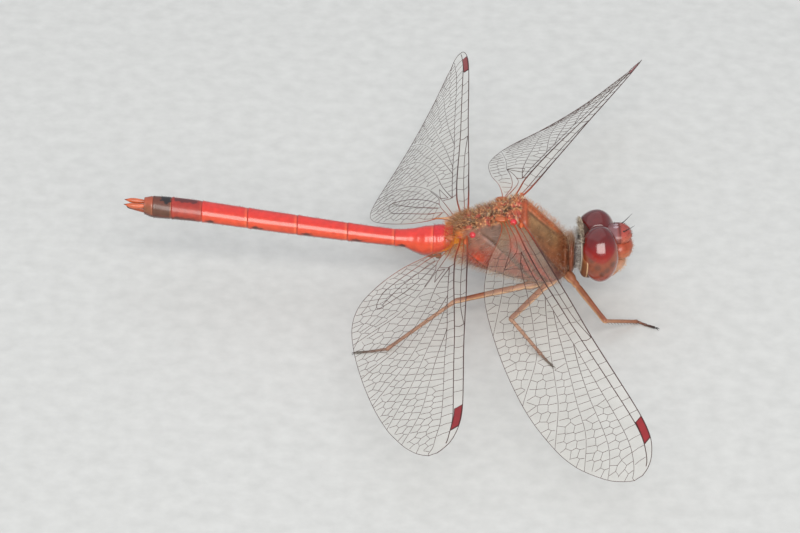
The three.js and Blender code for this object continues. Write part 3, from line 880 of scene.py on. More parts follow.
def add_tail(material):
    """The claspers at the tip, and the coupling organ below the second ring."""
    share = np.linspace(-0.12, 1, 16)
    radii = (0.11 + 0.055 * bump_at(share, 0.55, 0.28)) * rise(share, 1.06, 0.72) + 0.012
    path = line_points(CERCUS, share) + np.outer(np.sin(np.pi * np.clip(share, 0, 1)), [0, 0.05, -0.06])
    colours = coats((0.78, 0.38, 0.23), (0.38, 0.14, 0.08, rise(share, 0.84, 1.0)))
    add_both("cercus", "shell", tube(path, radii, colours, sides=16), material)
    radii = (0.27 - 0.15 * share) * rise(share, 1.05, 0.9) + 0.02
    colours = coats((0.6, 0.27, 0.14), (0.22, 0.1, 0.07, rise(share, 0.5, 1.0)))
    plate = tube(line_points(EPIPROCT, share), radii, colours, sides=16, flatten=0.95)
    add_piece("epiproct_shell", plate, material, ["epiproct"])
    lobe = ellipsoid((-5.3, 0, 3.62), (0.3, 0.24, 0.24), 0, 32, 20, paint=organ_paint)
    hook = ellipsoid((-4.85, 0.13, 3.62), (0.22, 0.09, 0.28), -10, 24, 16, paint=organ_paint)
    add_piece("genitalia_shell", merged([lobe, hook, mirrored(hook)]), material, ["genitalia"])


# ---- legs ----
FEMUR_RADIUS = 0.19
TIBIA_RADIUS = 0.125
TARSUS_RADIUS = 0.085
SPINE_RADIUS = 0.02
CLAW_CLEARANCE = 0.045  # of a claw's middle above the floor
CLAW_DROP = 0.03  # of the claws' roots below the last joint's middle
# Each limb's joints: shares of its length, and its radius there as a share of the one above.
FEMUR_SHARES = np.array([-0.1, 0, 0.08, 0.13, 0.15, 0.2, 0.23, 0.25, 0.3, 0.45, 0.65, 0.85, 0.95, 1, 1.03])
FEMUR_SIZES = np.array([1.5, 1.75, 1.7, 1.35, 1.1, 1.25, 1.15, 0.92, 1.12, 1.1, 1.0, 0.9, 0.98, 0.9, 0.45])
TIBIA_SHARES = np.array([-0.04, 0.0, 0.04, 0.1, 0.3, 0.6, 0.9, 0.97, 1.0, 1.02])
TIBIA_SIZES = np.array([0.6, 1.15, 1.25, 0.95, 1.0, 0.95, 0.9, 1.1, 1.0, 0.5])
TARSUS_SHARES = np.array([0.0, 0.02, 0.22, 0.25, 0.27, 0.52, 0.56, 0.58, 0.9, 0.97, 1.0])
TARSUS_SIZES = np.array([0.6, 0.95, 1.1, 0.7, 0.9, 1.05, 0.7, 0.85, 0.95, 1.0, 0.5])
# Rows of spines along the tibia: radians round it from its inner side, and the spines' length.
TIBIA_SPINES = [(0.9, 0.42), (-0.9, 0.42), (2.4, 0.26), (-2.4, 0.26)]


def leg_colours(share):
    """Tan, and reddish brown where share is 1."""
    return coats((0.67, 0.47, 0.34), (0.54, 0.34, 0.24, np.minimum(share, 1)))


def spine_row(ends, outward, count, length, rng):
    """A row of spines along a limb that slant out and towards its foot."""
    share = (np.arange(count) + 0.5) / count
    roots, ahead = line_points(ends, share), unit(ends[1] - ends[0])
    lengths = length * rng.uniform(0.8, 1.1, count)[:, None] * (1 - 0.3 * share[:, None])
    middles = roots + unit(outward + 0.35 * ahead) * lengths * 0.5
    tips = roots + unit(outward * 0.85 + ahead * 0.6) * lengths
    return spikes(roots, middles, tips, SPINE_RADIUS, (0.1, 0.06, 0.05), np.stack([share, share], -1))


def claw(start, ahead, aside):
    """One hooked claw, that stays clear of the floor."""
    share = np.linspace(0, 1, 8)
    path = start + np.outer(share, ahead * 0.3 + aside * 0.1)
    bend = 0.05 * np.sin(np.pi * share) - 0.075 * share**2
    path[:, 2] = np.maximum(path[:, 2] + bend, CLAW_CLEARANCE)
    return tube(path, 0.032 * (1 - share) + 0.006, (0.12, 0.07, 0.05), sides=8)


def add_leg(leg, shell, horn, rng):
    pair, side, knee, ankle, toe = leg
    joints = (HIPS[pair], knee, (*ankle, ANKLE_HEIGHT), (*toe, FOOT_HEIGHT))
    hip, knee, ankle, toe = (np.array(joint) * [1, side, 1] for joint in joints)
    # The first part is the coxa, the trochanter and the femur.
    path = line_points((hip, knee), FEMUR_SHARES)
    femur = tube(path, FEMUR_RADIUS * FEMUR_SIZES, leg_colours(rise(FEMUR_SHARES, 0.2, 1.1)), sides=18)
    out = unit(knee - hip)
    beside = unit(np.cross(out, [0, 0, 1]))
    height = ((femur.points - hip) @ np.cross(beside, out)) / FEMUR_RADIUS
    femur.colours = coats(
        femur.colours,
        (0.5, 0.24, 0.15, 0.6 * rise(height, 0.25, 0.75)),
        # Painted shade: the femur is darker on its underside.
        (0.34, 0.19, 0.13, 0.6 * rise(height, -0.35, -0.8)),
        (0.88, 0.7, 0.52, 0.7 * bump_at(height, -0.02, 0.26)),
    )
    path = line_points((knee, ankle), TIBIA_SHARES)
    colours = leg_colours(rise(TIBIA_SHARES, 0.0, 1.3) + 0.3)
    tibia = tube(path, TIBIA_RADIUS * TIBIA_SIZES, colours, sides=14)
    # Three foot joints, each wider at its end.
    reach = toe + unit(toe - ankle) * 0.05
    path = line_points((ankle, reach), TARSUS_SHARES)
    path[:, 2] = ANKLE_HEIGHT + (FOOT_HEIGHT - ANKLE_HEIGHT) * rise(TARSUS_SHARES, 0, 0.6)
    colours = coats((0.44, 0.26, 0.18), (0.16, 0.1, 0.08, rise(TARSUS_SHARES, 0.1, 1.0)))
    tarsus = tube(path, TARSUS_RADIUS * TARSUS_SIZES, colours, sides=12)
    way = unit((toe - ankle) * [1, 1, 0])
    aside = np.array([-way[1], way[0], 0])
    claws = [claw(reach - [0, 0, CLAW_DROP], way, sign * aside) for sign in (1, -1)]
    below = unit(0.35 * beside - [0, 0, 1])
    thigh = (hip + 0.3 * (knee - hip), knee)
    spines = [spine_row(thigh, unit(below + lean * beside), 12, 0.2, rng) for lean in (0.5, -0.9)]
    shin = unit(ankle - knee)
    across = unit(np.cross(shin, [0, 0, 1]))
    inner = unit(np.cross(shin, across))
    for turn, length in TIBIA_SPINES:
        outward = unit(inner * math.cos(turn) + across * math.sin(turn))
        spines.append(spine_row((knee, ankle), outward, 10, length, rng))
    name = f"leg_{pair}_{'left' if side == LEFT else 'right'}"
    for part, shape in (("femur", femur), ("tibia", tibia), ("tarsus", tarsus)):
        add_piece(f"{name}_{part}_shell", shape, shell, [f"{name}_{part}"])
    add_piece(f"{name}_claws", merged(claws), horn)
    add_piece(f"{name}_spines", merged(spines), horn)


def add_legs():
    shell = shell_material("leg_shell", rough=0.42, coat=0.15, mottle=0.18)
    horn = painted_material("claw_shell", rough=0.3)
    rng = np.random.default_rng(SEED)
    for leg in LEGS:
        add_leg(leg, shell, horn, rng)


# ---- wings ----
# Places on a wing are told as u, the share of its length from the root, and an offset in
# millimetres behind its leading edge.
# Outlines: u, how far the leading edge lies ahead of the line from the base, and the chord.
FORE_OUTLINE = np.array([
    (-0.03, 0.2, 1.1), (0, 0.25, 1.3), (0.05, 0.34, 2.1), (0.12, 0.36, 3.4), (0.22, 0.34, 4.6),
    (0.34, 0.34, 5.3), (0.5, 0.3, 5.75), (0.66, 0.36, 5.9), (0.8, 0.4, 5.5), (0.87, 0.33, 4.9),
    (0.92, 0.1, 4.0), (0.965, -0.4, 2.7), (0.99, -0.95, 1.4), (1, -1.4, 0.55),
])
HIND_OUTLINE = np.array([
    (-0.035, 0.15, 1.0), (0, 0.22, 1.25), (0.022, 0.25, 1.85), (0.045, 0.27, 3.5), (0.07, 0.28, 4.6),
    (0.12, 0.3, 5.95), (0.19, 0.3, 7.1), (0.28, 0.32, 7.6), (0.4, 0.3, 7.4), (0.55, 0.3, 6.75),
    (0.7, 0.36, 5.9), (0.82, 0.38, 4.95), (0.88, 0.3, 4.2), (0.93, 0.05, 3.3), (0.97, -0.35, 2.2),
    (0.99, -0.8, 1.2), (1, -1.15, 0.55),
])
# Veins: the radius at the root and at the end, then stops of u and offset. An offset of None is at
# the hind margin.
FORE_VEINS = {
    "subcosta": (0.03, 0.022, (-0.03, 0.2), (0, 0.25), (0.1, 0.38), (0.25, 0.42), (0.4, 0.36), (0.5, 0.05)),
    "radius": (
        0.065, 0.028, (-0.03, 0.45), (0, 0.5), (0.1, 0.8), (0.25, 0.85), (0.4, 0.75), (0.5, 0.65), (0.6, 0.6),
        (0.75, 0.56), (0.85, 0.52), (0.93, 0.43), (0.98, 0.22),
    ),
    "sector_1": (
        0.03, 0.016, (0.115, 1.15), (0.2, 1.25), (0.4, 1.25), (0.52, 1.2), (0.7, 1.3), (0.87, 1.35),
        (0.93, 1.3), (0.97, 1.15), (1, 0.9),
    ),
    "sector_2": (
        0.024, 0.014, (0.5, 1.22), (0.55, 1.5), (0.6, 1.75), (0.7, 2.15), (0.8, 2.4), (0.87, 2.6),
        (0.955, None),
    ),
    "sector_3": (
        0.022, 0.014, (0.36, 1.27), (0.42, 1.6), (0.5, 1.95), (0.6, 2.45), (0.7, 3.0), (0.8, 3.5),
        (0.895, None),
    ),
    "sector_4": (
        0.024, 0.014, (0.3, 1.26), (0.36, 1.75), (0.42, 2.2), (0.5, 2.75), (0.6, 3.45), (0.68, 4.1),
        (0.79, None),
    ),
    "media": (
        0.03, 0.015, (0.115, 1.15), (0.16, 1.6), (0.2, 1.85), (0.3, 2.35), (0.4, 2.95), (0.5, 3.7),
        (0.62, None),
    ),
    "cubitus": (
        0.04, 0.015, (-0.03, 0.8), (0, 0.85), (0.1, 1.3), (0.165, 2.75), (0.2, 3.1), (0.25, 3.7), (0.3, 4.4),
        (0.37, None),
    ),
    "anal": (0.034, 0.022, (-0.03, 0.95), (0, 1.05), (0.06, 1.35), (0.1, 1.75), (0.165, 2.75)),
}
HIND_VEINS = {
    "subcosta": (0.03, 0.022, (-0.035, 0.2), (0, 0.25), (0.1, 0.38), (0.2, 0.42), (0.33, 0.36), (0.43, 0.05)),
    "radius": (
        0.065, 0.028, (-0.035, 0.45), (0, 0.5), (0.1, 0.8), (0.25, 0.8), (0.4, 0.68), (0.5, 0.62),
        (0.75, 0.62), (0.87, 0.55), (0.93, 0.45), (0.97, 0.25),
    ),
    "sector_1": (
        0.03, 0.016, (0.12, 1.2), (0.3, 1.25), (0.43, 1.15), (0.6, 1.25), (0.75, 1.3), (0.87, 1.35),
        (0.94, 1.3), (1, 0.8),
    ),
    "sector_2": (0.024, 0.014, (0.43, 1.16), (0.55, 1.7), (0.68, 2.2), (0.8, 2.7), (0.91, None)),
    "sector_3": (0.022, 0.014, (0.3, 1.25), (0.42, 1.8), (0.55, 2.6), (0.68, 3.5), (0.82, None)),
    "sector_4": (0.024, 0.014, (0.26, 1.24), (0.36, 2.0), (0.48, 3.0), (0.58, 4.1), (0.69, None)),
    "media": (0.03, 0.015, (0.12, 1.2), (0.2, 1.9), (0.3, 2.5), (0.4, 3.4), (0.48, 4.6), (0.55, None)),
    "cubitus": (
        0.04, 0.015, (-0.035, 0.8), (0, 0.9), (0.133, 2.0), (0.2, 2.7), (0.26, 3.6), (0.32, 4.9),
        (0.38, None),
    ),
    "anal": (0.034, 0.02, (-0.035, 0.95), (0, 1.1), (0.06, 1.75), (0.1, 2.05), (0.133, 2.1), (0.2, 2.75)),
}
# Veins that run too steeply to be told by their place along the wing.
FORE_BRANCHES = [
    [(0.115, 0.82), (0.118, 1.2), (0.112, 1.55)],
    [(0.155, 1.5), (0.18, 1.62)],
    [(0.155, 1.5), (0.165, 2.75)],
    [(0.18, 1.62), (0.172, 2.2), (0.165, 2.75)],
    [(0.5, 0), (0.503, 0.3), (0.5, 0.65)],
]
HIND_BRANCHES = [
    [(0.12, 0.8), (0.122, 1.25), (0.118, 1.8)],
    [(0.128, 1.5), (0.133, 2.0)],
    [(0.133, 2.0), (0.19, 2.1)],
    [(0.128, 1.5), (0.19, 2.1)],
    [(0.43, 0), (0.433, 0.3), (0.43, 0.67)],
]
# The hindwing's fan: its anal loop with a midrib, and the vein nearer to the root.
FAN_RIBS = [
    [(0.1, 2.05), (0.15, 2.9), (0.2, 4.0), (0.235, 5.2), (0.25, 5.9), (0.22, 6.0), (0.17, 5.6), (0.14, 4.9),
     (0.1, 3.8), (0.06, 2.6), (0.05, 1.8)],
    [(0.08, 2.1), (0.12, 3.3), (0.17, 4.5), (0.235, 5.6)],
    [(0.05, 1.8), (0.03, 2.3), (0.035, 2.9)],
]
# Fields of cells: the veins in front and behind, from and to, the cells' length and greatest width.
FORE_FIELDS = [
    ("costa", "subcosta", 0.02, 0.5, 1.45, 2.0),
    ("subcosta", "radius", 0.02, 0.5, 1.45, 2.0),
    ("costa", "radius", 0.5, 0.83, 1.25, 2.0),
    ("costa", "radius", 0.91, 0.98, 0.7, 2.0),
    ("radius", "sector_1", 0.12, 0.99, 0.95, 1.2),
    ("sector_1", "sector_2", 0.5, 0.99, 0.62, 0.62),
    ("sector_2", "sector_3", 0.38, 0.97, 0.62, 0.62),
    ("sector_3", "sector_4", 0.31, 0.92, 0.62, 0.62),
    ("sector_4", "media", 0.14, 0.82, 0.62, 0.64),
    ("media", "cubitus", 0.18, 0.64, 0.62, 0.64),
    ("anal", "margin", 0.0, 0.38, 0.62, 0.64),
]
HIND_FIELDS = [
    ("costa", "subcosta", 0.02, 0.43, 1.5, 2.0),
    ("subcosta", "radius", 0.02, 0.43, 1.5, 2.0),
    ("costa", "radius", 0.43, 0.825, 1.25, 2.0),
    ("costa", "radius", 0.905, 0.97, 0.7, 2.0),
    ("radius", "sector_1", 0.12, 0.98, 0.95, 1.2),
    ("sector_1", "sector_2", 0.43, 0.99, 0.62, 0.62),
    ("sector_2", "sector_3", 0.32, 0.93, 0.62, 0.62),
    ("sector_3", "sector_4", 0.27, 0.85, 0.62, 0.62),
    ("sector_4", "media", 0.14, 0.72, 0.62, 0.64),
    ("media", "cubitus", 0.19, 0.58, 0.62, 0.68),
    ("anal", "margin", 0.0, 0.4, 0.62, 0.66),
]
# A stigma is the coloured cell near the tip: from, to, and its greatest depth. hinge is the offset of
# the red plate at the root.
FOREWING = {
    "base": (0.15, 1.6, 7.1), "length": 25.0, "outline": FORE_OUTLINE, "veins": FORE_VEINS,
    "branches": FORE_BRANCHES, "fields": FORE_FIELDS, "stigma": (0.83, 0.91, 0.5), "hinge": 0.38,
}
HINDWING = {
    "base": (-3.2, 1.55, 5.65), "length": 23.6, "outline": HIND_OUTLINE, "veins": HIND_VEINS,
    "branches": HIND_BRANCHES + FAN_RIBS, "fields": HIND_FIELDS, "stigma": (0.82, 0.915, 0.52),
    "hinge": -0.42,
}
# Wings: name, side, form, and the degrees of sweep, of droop, of pitch at the root and of twist to the tip.
WINGS = [
    ("wing_fore_left", LEFT, FOREWING, 21.3, 4.2, 0, 54),
    ("wing_fore_right", RIGHT, FOREWING, 21, 5.2, 2, 24),
    ("wing_hind_left", LEFT, HINDWING, -0.8, 0.9, 20, 42),
    ("wing_hind_right", RIGHT, HINDWING, -0.3, -0.2, 18, 6),
]
WING_CAMBER = 0.03
BRANCH_RADIUS = 0.02
NET_RADIUS = 0.0125
NET_OVERLAP = 0.008  # how far a small vein runs into the next one
LEAST_FIELD = 0.16  # narrower fields hold no cells
# Walls between cells are left out where the field is narrower than the first value, where they run
# nearer to a long vein than the second, and where they are shorter than the third.
SHUT_FIELD = 0.12
EDGE_GAP = 0.015
SHORT_WALL = 0.03
# Seeds beside the fan's ribs: the step along a rib, and how far they stand off it, off the other seeds
# and off one another.
RIB_STEP = 0.55
RIB_SIDE = 0.27
RIB_CLEAR = 0.52
RIB_APART = 0.3
MEMBRANE_GRID = (170, 53)
AMBER_GRID = (30, 12)
VEIN_PARENTS = {"sector_2": "sector_1", "sector_3": "sector_1", "sector_4": "sector_1", "anal": "cubitus"}
# Folds across a wing, as lifts for each millimetre of fold depth: at the root and at the tip.
FOLD_STOPS = np.array([0, 0.38, 0.8, 1.3, 2.2, 3.2])
ROOT_FOLDS = np.array([1, -0.6, 1, -0.8, 0.3, -0.2])
TIP_FOLDS = np.array([1, 0.4, 0.9, -0.8, 0.2, 0])


class Wing:
    def __init__(self, name, side, form, sweep, droop, pitch, twist):
        self.name, self.form, self.pitch, self.twist = name, form, pitch, twist
        self.length, self.root = form["length"], form["outline"][0, 0]
        self.mirror = np.array([1, side, 1])
        ahead, outward = math.sin(math.radians(sweep)), math.cos(math.radians(sweep))
        level, down = math.cos(math.radians(droop)), math.sin(math.radians(droop))
        self.span = np.array([ahead * level, outward * level, -down])

    def chord(self, u):
        return along(self.form["outline"], u, 2)

    def points(self, u, offset, lift=0.0):
        """Points at u and offset, lifted off the wing's middle surface, and its normals there."""
        u, offset, lift = np.broadcast_arrays(np.asarray(u, float), offset, lift)
        level = unit(self.span[0] * self.span - [1, 0, 0])
        angle = np.radians(self.pitch + self.twist * u)[..., None]
        back = level * np.cos(angle) - np.cross(self.span, level) * np.sin(angle)
        up = np.cross(self.span, back)
        chord = self.chord(u)
        share = np.clip(offset / chord, 0, 1)
        outer = np.clip(u * 1.6 - 0.3, 0, 1)
        root_fold, tip_fold = (np.interp(offset, FOLD_STOPS, folds) for folds in (ROOT_FOLDS, TIP_FOLDS))
        fold = ((1 - outer) * root_fold + outer * tip_fold) * (0.13 - 0.1 * np.clip(u, 0, 1))
        height = 4 * WING_CAMBER * chord * share * (1 - share) + fold + lift
        behind = offset - along(self.form["outline"], u, 1)
        points = self.form["base"] + self.span * (u * self.length)[..., None]
        points = points + back * behind[..., None] + up * height[..., None]
        return points * self.mirror, up * self.mirror

    def stops(self, name):
        """A vein's stops, u and offset."""
        return np.array([
            (u, self.chord(u) if offset is None else offset) for u, offset in self.form["veins"][name][2:]
        ], float)

    def offset_of(self, name, u):
        """How far a vein lies behind the leading edge at u. Where it hasn't begun it follows the vein
        it comes from, as the anal vein does past its end, and it never passes the hind margin."""
        u = np.asarray(u, float)
        chord = self.chord(u)
        if name == "costa":
            return 0 * chord
        if name == "margin":
            return chord
        stops = self.stops(name)
        start, end = stops[0, 0], stops[-1, 0]
        here = along(stops, np.clip(u, start, end), 1)
        if name in VEIN_PARENTS:
            away = u > end if name == "anal" else u < start
            here = np.where(away, self.offset_of(VEIN_PARENTS[name], u), here)
        if self.form["veins"][name][-1][1] is None:
            here = np.where(u >= end, chord, here)
        return np.minimum(here, chord)


def wing_places(u, offset):
    """Where points of a wing lie on a bake's map."""
    return np.stack([0.03 + 0.93 * (u + 0.035) / 1.035, 0.03 + 0.93 * offset / 8], -1)


def rounded_path(corners):
    """Points along a path through corners, whose bends are rounded over two fifths of each leg."""
    corners = np.array(corners)
    path = [corners[:1]]
    t = np.linspace(0, 1, 5)[:, None]
    for before, corner, after in zip(corners, corners[1:], corners[2:]):
        start, end = corner + (before - corner) * 0.4, corner + (after - corner) * 0.4
        path.append((1 - t) ** 2 * start + 2 * t * (1 - t) * corner + t * t * end)
    return np.concatenate([*path, corners[-1:]])


def vein_tube(wing, u, offset, radii):
    points, up = wing.points(u, offset)
    colours = coats((0.66, 0.27, 0.12), (0.26, 0.12, 0.09, rise(u, 0.0, 0.16)))
    return tube(points, radii, colours, sides=6, up=up, places=wing_places(u, offset))


def main_veins(wing):
    """The long veins and the branches that join them, as closed tubes."""
    u = np.linspace(wing.root, 1, 150)
    leading = 0.034 + 0.03 * rise(u, 0.3, 0.0) - 0.012 * rise(u, 0.6, 1.0)
    tubes = [vein_tube(wing, u, 0 * u, leading)]
    chord = wing.chord(u)
    u, offset = np.append(u, [1, 1]), np.append(chord, [chord[-1] / 2, 0])
    tubes.append(vein_tube(wing, u, offset, 0.017 + 0.012 * rise(u, 0.05, 0)))
    for name, (thick, thin, *_) in wing.form["veins"].items():
        stops = wing.stops(name)
        start, end = stops[0, 0], stops[-1, 0]
        u = np.linspace(start, end, 12 + int(110 * (end - start)))
        thinned = np.minimum(2 * (u - start) / (end - start), 1) ** 0.7
        offset = np.minimum(along(stops, u, 1), wing.chord(u))
        tubes.append(vein_tube(wing, u, offset, thick + (thin - thick) * thinned))
    for line in wing.form["branches"]:
        tubes.append(vein_tube(wing, *rounded_path(line).T, BRANCH_RADIUS))
    return merged(tubes)


def field_seeds(wing, field, rng):
    """Middles of the cells in one field, in rows between its two veins, and their mirror images
    beyond its edges."""
    front, behind, start, end, step, width = field
    length = wing.length
    inner, outer = [], []
    for x in np.arange(start * length + 0.5 * step, end * length, step):
        gap = float(wing.offset_of(behind, x / length) - wing.offset_of(front, x / length))
        if gap < LEAST_FIELD:
            continue
        count = max(1, round(gap / width))
        row = np.arange(count)
        shake = 0.1 if count > 1 else 0
        at_x = x + 0.5 * step * (row % 2) + rng.uniform(-shake, shake, count) * step
        shares = (row + 0.5) / count + rng.uniform(-shake, shake, count) * 0.8 / count
        low, high = wing.offset_of(front, at_x / length), wing.offset_of(behind, at_x / length)
        at_y = low + shares * (high - low)
        inner += zip(at_x, at_y)
        outer += [(at_x[0], 2 * low[0] - at_y[0]), (at_x[-1], 2 * high[-1] - at_y[-1])]
    return inner, outer


def cell_walls(inner, outer):
    """Walls between neighbouring cells, as pairs of points in the plane: the Voronoi edges of the
    inner seeds, which the outer ones bound."""
    seeds = [Vector(seed) for seed in inner + outer]
    points, _, triangles, origins, _, _ = geometry.delaunay_2d_cdt(seeds, [], [], 0, 1e-6)
    is_inner = [bool(source) and min(source) < len(inner) for source in origins]
    centres, sides = {}, {}
    for number, triangle in enumerate(triangles):
        # The middle of the circle through the three corners.
        corners = np.array([points[k] for k in triangle])
        across = np.roll(corners, -1, 0) - np.roll(corners, 1, 0)
        double = 2 * corners[:, 0] @ across[:, 1]
        if abs(double) < 1e-9:
            continue
        squares = (corners**2).sum(1)
        centres[number] = np.array([squares @ across[:, 1], -squares @ across[:, 0]]) / double
        for p, q in zip(triangle, triangle[1:] + triangle[:1]):
            sides.setdefault((min(p, q), max(p, q)), []).append(number)
    return np.array([
        (centres[owners[0]], centres[owners[1]])
        for (p, q), owners in sorted(sides.items())
        if len(owners) == 2 and is_inner[p] and is_inner[q]
    ])


def add_ribs(wing, inner):
    """Seeds in pairs along the fan's ribs, so that cell walls run along them."""
    kept, paired = np.array(inner), []
    for line in FAN_RIBS:
        stops = np.array(line) * [wing.length, 1]
        lengths = np.append(0, np.cumsum(np.linalg.norm(np.diff(stops, axis=0), axis=1)))
        places = np.arange(0.25, lengths[-1], RIB_STEP)
        at = np.stack([np.interp(places, lengths, column) for column in stops.T], -1)
        ahead = unit(np.gradient(at, axis=0))
        beside = np.stack([-ahead[:, 1], ahead[:, 0]], -1) * RIB_SIDE
        kept = kept[np.linalg.norm(kept[:, None] - at, axis=-1).min(1) > RIB_CLEAR]
        paired += [at + beside, at - beside]
    extra = np.concatenate(paired)
    apart = np.linalg.norm(extra[:, None] - extra, axis=-1) + np.triu(np.full((len(extra),) * 2, 9.0))
    return [tuple(seed) for seed in np.concatenate([kept, extra[apart.min(1) > RIB_APART]])]


STRUT_FACES = np.array([[0, 1, 5, 4], [1, 2, 6, 5], [2, 3, 7, 6], [3, 0, 4, 7], [3, 2, 1, 0], [4, 5, 6, 7]])
STRUT_PATCH = np.array([(0, 0), (1, 0), (1, 1), (0, 1), (0, 0.4), (1, 0.4), (1, 0.6), (0, 0.6)])


def struts(starts, ends, normals, radius, colours, places):
    """Thin closed four-sided bars."""
    side = unit(np.cross(unit(ends - starts), normals))
    above = np.cross(side, unit(ends - starts))
    ring = np.stack([side + above, above - side, -side - above, side - above], 1) * radius * 0.75
    points = np.concatenate([starts[:, None] + ring, ends[:, None] + ring], 1)
    faces = STRUT_FACES + 8 * np.arange(len(starts))[:, None, None]
    spots = places[:, None] + STRUT_PATCH * TUFT_PATCH
    return Shape(points, faces, np.repeat(colours, 8, 0), spots.reshape(-1, 2))


def cross_veins(wing, rng):
    """The net of small veins between the long ones."""
    parts = []
    for field in wing.form["fields"]:
        front, behind, start, end, _, _ = field
        inner, outer = field_seeds(wing, field, rng)
        if len(inner) < 3:
            continue
        if wing.form is HINDWING and front == "anal":
            inner = add_ribs(wing, inner)
        walls = cell_walls(inner, outer)
        u = np.clip(walls[..., 0] / wing.length, start, end)
        low, high = wing.offset_of(front, u), wing.offset_of(behind, u)
        offset = np.clip(walls[..., 1], low, high)
        shut = (high - low).max(1) < SHUT_FIELD
        on_edge = (offset - low < EDGE_GAP).all(1) | (high - offset < EDGE_GAP).all(1)
        short = np.hypot(np.diff(u)[:, 0] * wing.length, np.diff(offset)[:, 0]) < SHORT_WALL
        keep = ~(shut | on_edge | short)
        u, offset = (ends[keep, :1] + np.diff(ends[keep]) * [0, 0.5, 1] for ends in (u, offset))
        points, up = wing.points(u, offset)
        u, offset = u.mean(1), offset.mean(1)
        colours = coats((0.52, 0.25, 0.14), (0.26, 0.13, 0.11, rise(u, 0.0, 0.12)))
        for k in (0, 1):
            reach = unit(points[:, k + 1] - points[:, k]) * NET_OVERLAP
            starts, ends = points[:, k] - reach, points[:, k + 1] + reach
            parts.append(struts(starts, ends, up[:, k], NET_RADIUS, colours, wing_places(u, offset)))
    return merged(parts)


def stigma(wing):
    """The thick red cell near the tip, between the leading edge and the vein behind it."""
    start, end, depth = wing.form["stigma"]
    across = np.linspace(0, 1, 11)
    face = np.repeat([1, -1], [11, 9])
    share, around = np.meshgrid(np.linspace(0, 1, 26), np.append(across, across[-2:0:-1]), indexing="ij")
    u = start + share * (end - start) + 0.012 * (around - 0.5)
    width = np.minimum(wing.offset_of("radius", u), depth)
    edge = np.minimum(np.minimum(around, 1 - around) * 6, np.minimum(share, 1 - share) * 14)
    thick = 0.014 + 0.024 * np.clip(edge, 0, 1) ** 0.5
    points, _ = wing.points(u, around * width, face * thick)
    return closed_skin(points, coats((0.16, 0.05, 0.06), (0.58, 0.12, 0.14, rise(edge, 0.15, 0.9))))


def wing_root(wing):
    """The hard plates that hinge a wing on the thorax."""
    return merged([
        ellipsoid(wing.points(u, offset)[0], radii, columns=32, rows=20, paint=colour)
        for u, offset, radii, colour in [
            (-0.03, 0.3, (0.36, 0.34, 0.2), (0.74, 0.3, 0.2)),
            (-0.012, wing.form["hinge"], (0.24, 0.26, 0.22), (0.78, 0.18, 0.22)),
            (-0.03, 1.0, (0.42, 0.28, 0.15), (0.7, 0.36, 0.2)),
            (0.012, 0.1, (0.13, 0.34, 0.1), (0.8, 0.38, 0.18)),
        ]
    ])


def amber_patch(wing):
    """The golden stain of a hindwing's membrane along its hind root."""
    rows, columns = AMBER_GRID
    u, share = np.meshgrid(np.linspace(-0.035, 0.036, rows), np.linspace(0, 1, columns), indexing="ij")
    chord = wing.chord(u)
    depth = (chord - 0.55 - 0.5 * rise(u, 0.0, 0.05)) * rise(u, 0.038, 0.01)
    points, _ = wing.points(u, chord - share * depth, 0.008)
    return Shape(points, sheet_faces(rows, columns), (0.9, 0.55, 0.12))


def add_wing(wing, materials, rng):
    rows, columns = MEMBRANE_GRID
    u, share = np.meshgrid(np.linspace(wing.root, 1, rows), np.linspace(0, 1, columns) ** 1.3, indexing="ij")
    points, _ = wing.points(u, share * wing.chord(u))
    tint = coats((0.86, 0.66, 0.36), (0.88, 0.84, 0.76, rise(u, 0.0, 0.12)))
    sheet = Shape(points, sheet_faces(rows, columns), tint.reshape(-1, 3))
    add_piece(f"{wing.name}_membrane", sheet, materials["membrane"], [wing.name])
    if wing.form is HINDWING:
        add_piece(f"{wing.name}_amber", amber_patch(wing), materials["amber"])
    add_piece(f"{wing.name}_veins", main_veins(wing), materials["vein"])
    add_piece(f"{wing.name}_net", cross_veins(wing, rng), materials["vein"], smooth=False)
    add_piece(f"{wing.name}_stigma", stigma(wing), materials["stigma"])
    add_piece(f"{wing.name}_root", wing_root(wing), materials["root"])


def add_wings():
    materials = {
        "membrane": painted_material("wing_membrane", rough=0.12, specular=0.4, alpha=0.13),
        "amber": painted_material("wing_amber", rough=0.15, specular=0.4, alpha=0.6),
        "vein": painted_material("wing_vein", rough=0.35),
        "stigma": shell_material("stigma_cell", rough=0.4),
        "root": shell_material("wing_root", rough=0.4, coat=0.2, mottle=0.15),
    }
    rng = np.random.default_rng(SEED + 1)
    for row in WINGS:
        add_wing(Wing(*row), materials, rng)


# ---- hair ----
THORAX_HAIRS = 11000  # before they are thinned
WING_BRISTLES = 340
COLLAR_HAIRS = 380
TUFT_HAIRS = 750
HOLLOW_HAIRS = 420
HEAD_HAIR_RADIUS = 0.0065
# Rings of the abdomen: hairs to the millimetre of length, and how long, how thick and of what tone.
RING_HAIR = {1: (700, 0.45, 0.007, (0.88, 0.72, 0.42)), 2: (160, 0.16, 0.005, (0.2, 0.1, 0.07))}
USUAL_RING_HAIR = (90, 0.11, 0.005, (0.2, 0.1, 0.07))
# Parts of the face: how many hairs, how long and of what tone.
FACE_HAIR = [
    (FRONS, 300, 0.11, (0.36, 0.14, 0.1)), (CLYPEUS, 320, 0.16, (0.66, 0.42, 0.26)),
    (LABRUM, 420, 0.24, (0.82, 0.64, 0.46)), (VERTEX, 120, 0.2, (0.24, 0.13, 0.11)),
]


def hairs(roots, normals, lie, lengths, radius, colours, places):
    """Single hairs that leave the skin along the normals and bend over along lie."""
    lengths = lengths[:, None]
    middles = roots + unit(normals * 1.2 + lie * 0.5) * lengths * 0.5
    tips = roots + unit(normals + lie) * lengths
    return spikes(roots - normals * 0.02, middles, tips, radius, colours, places)


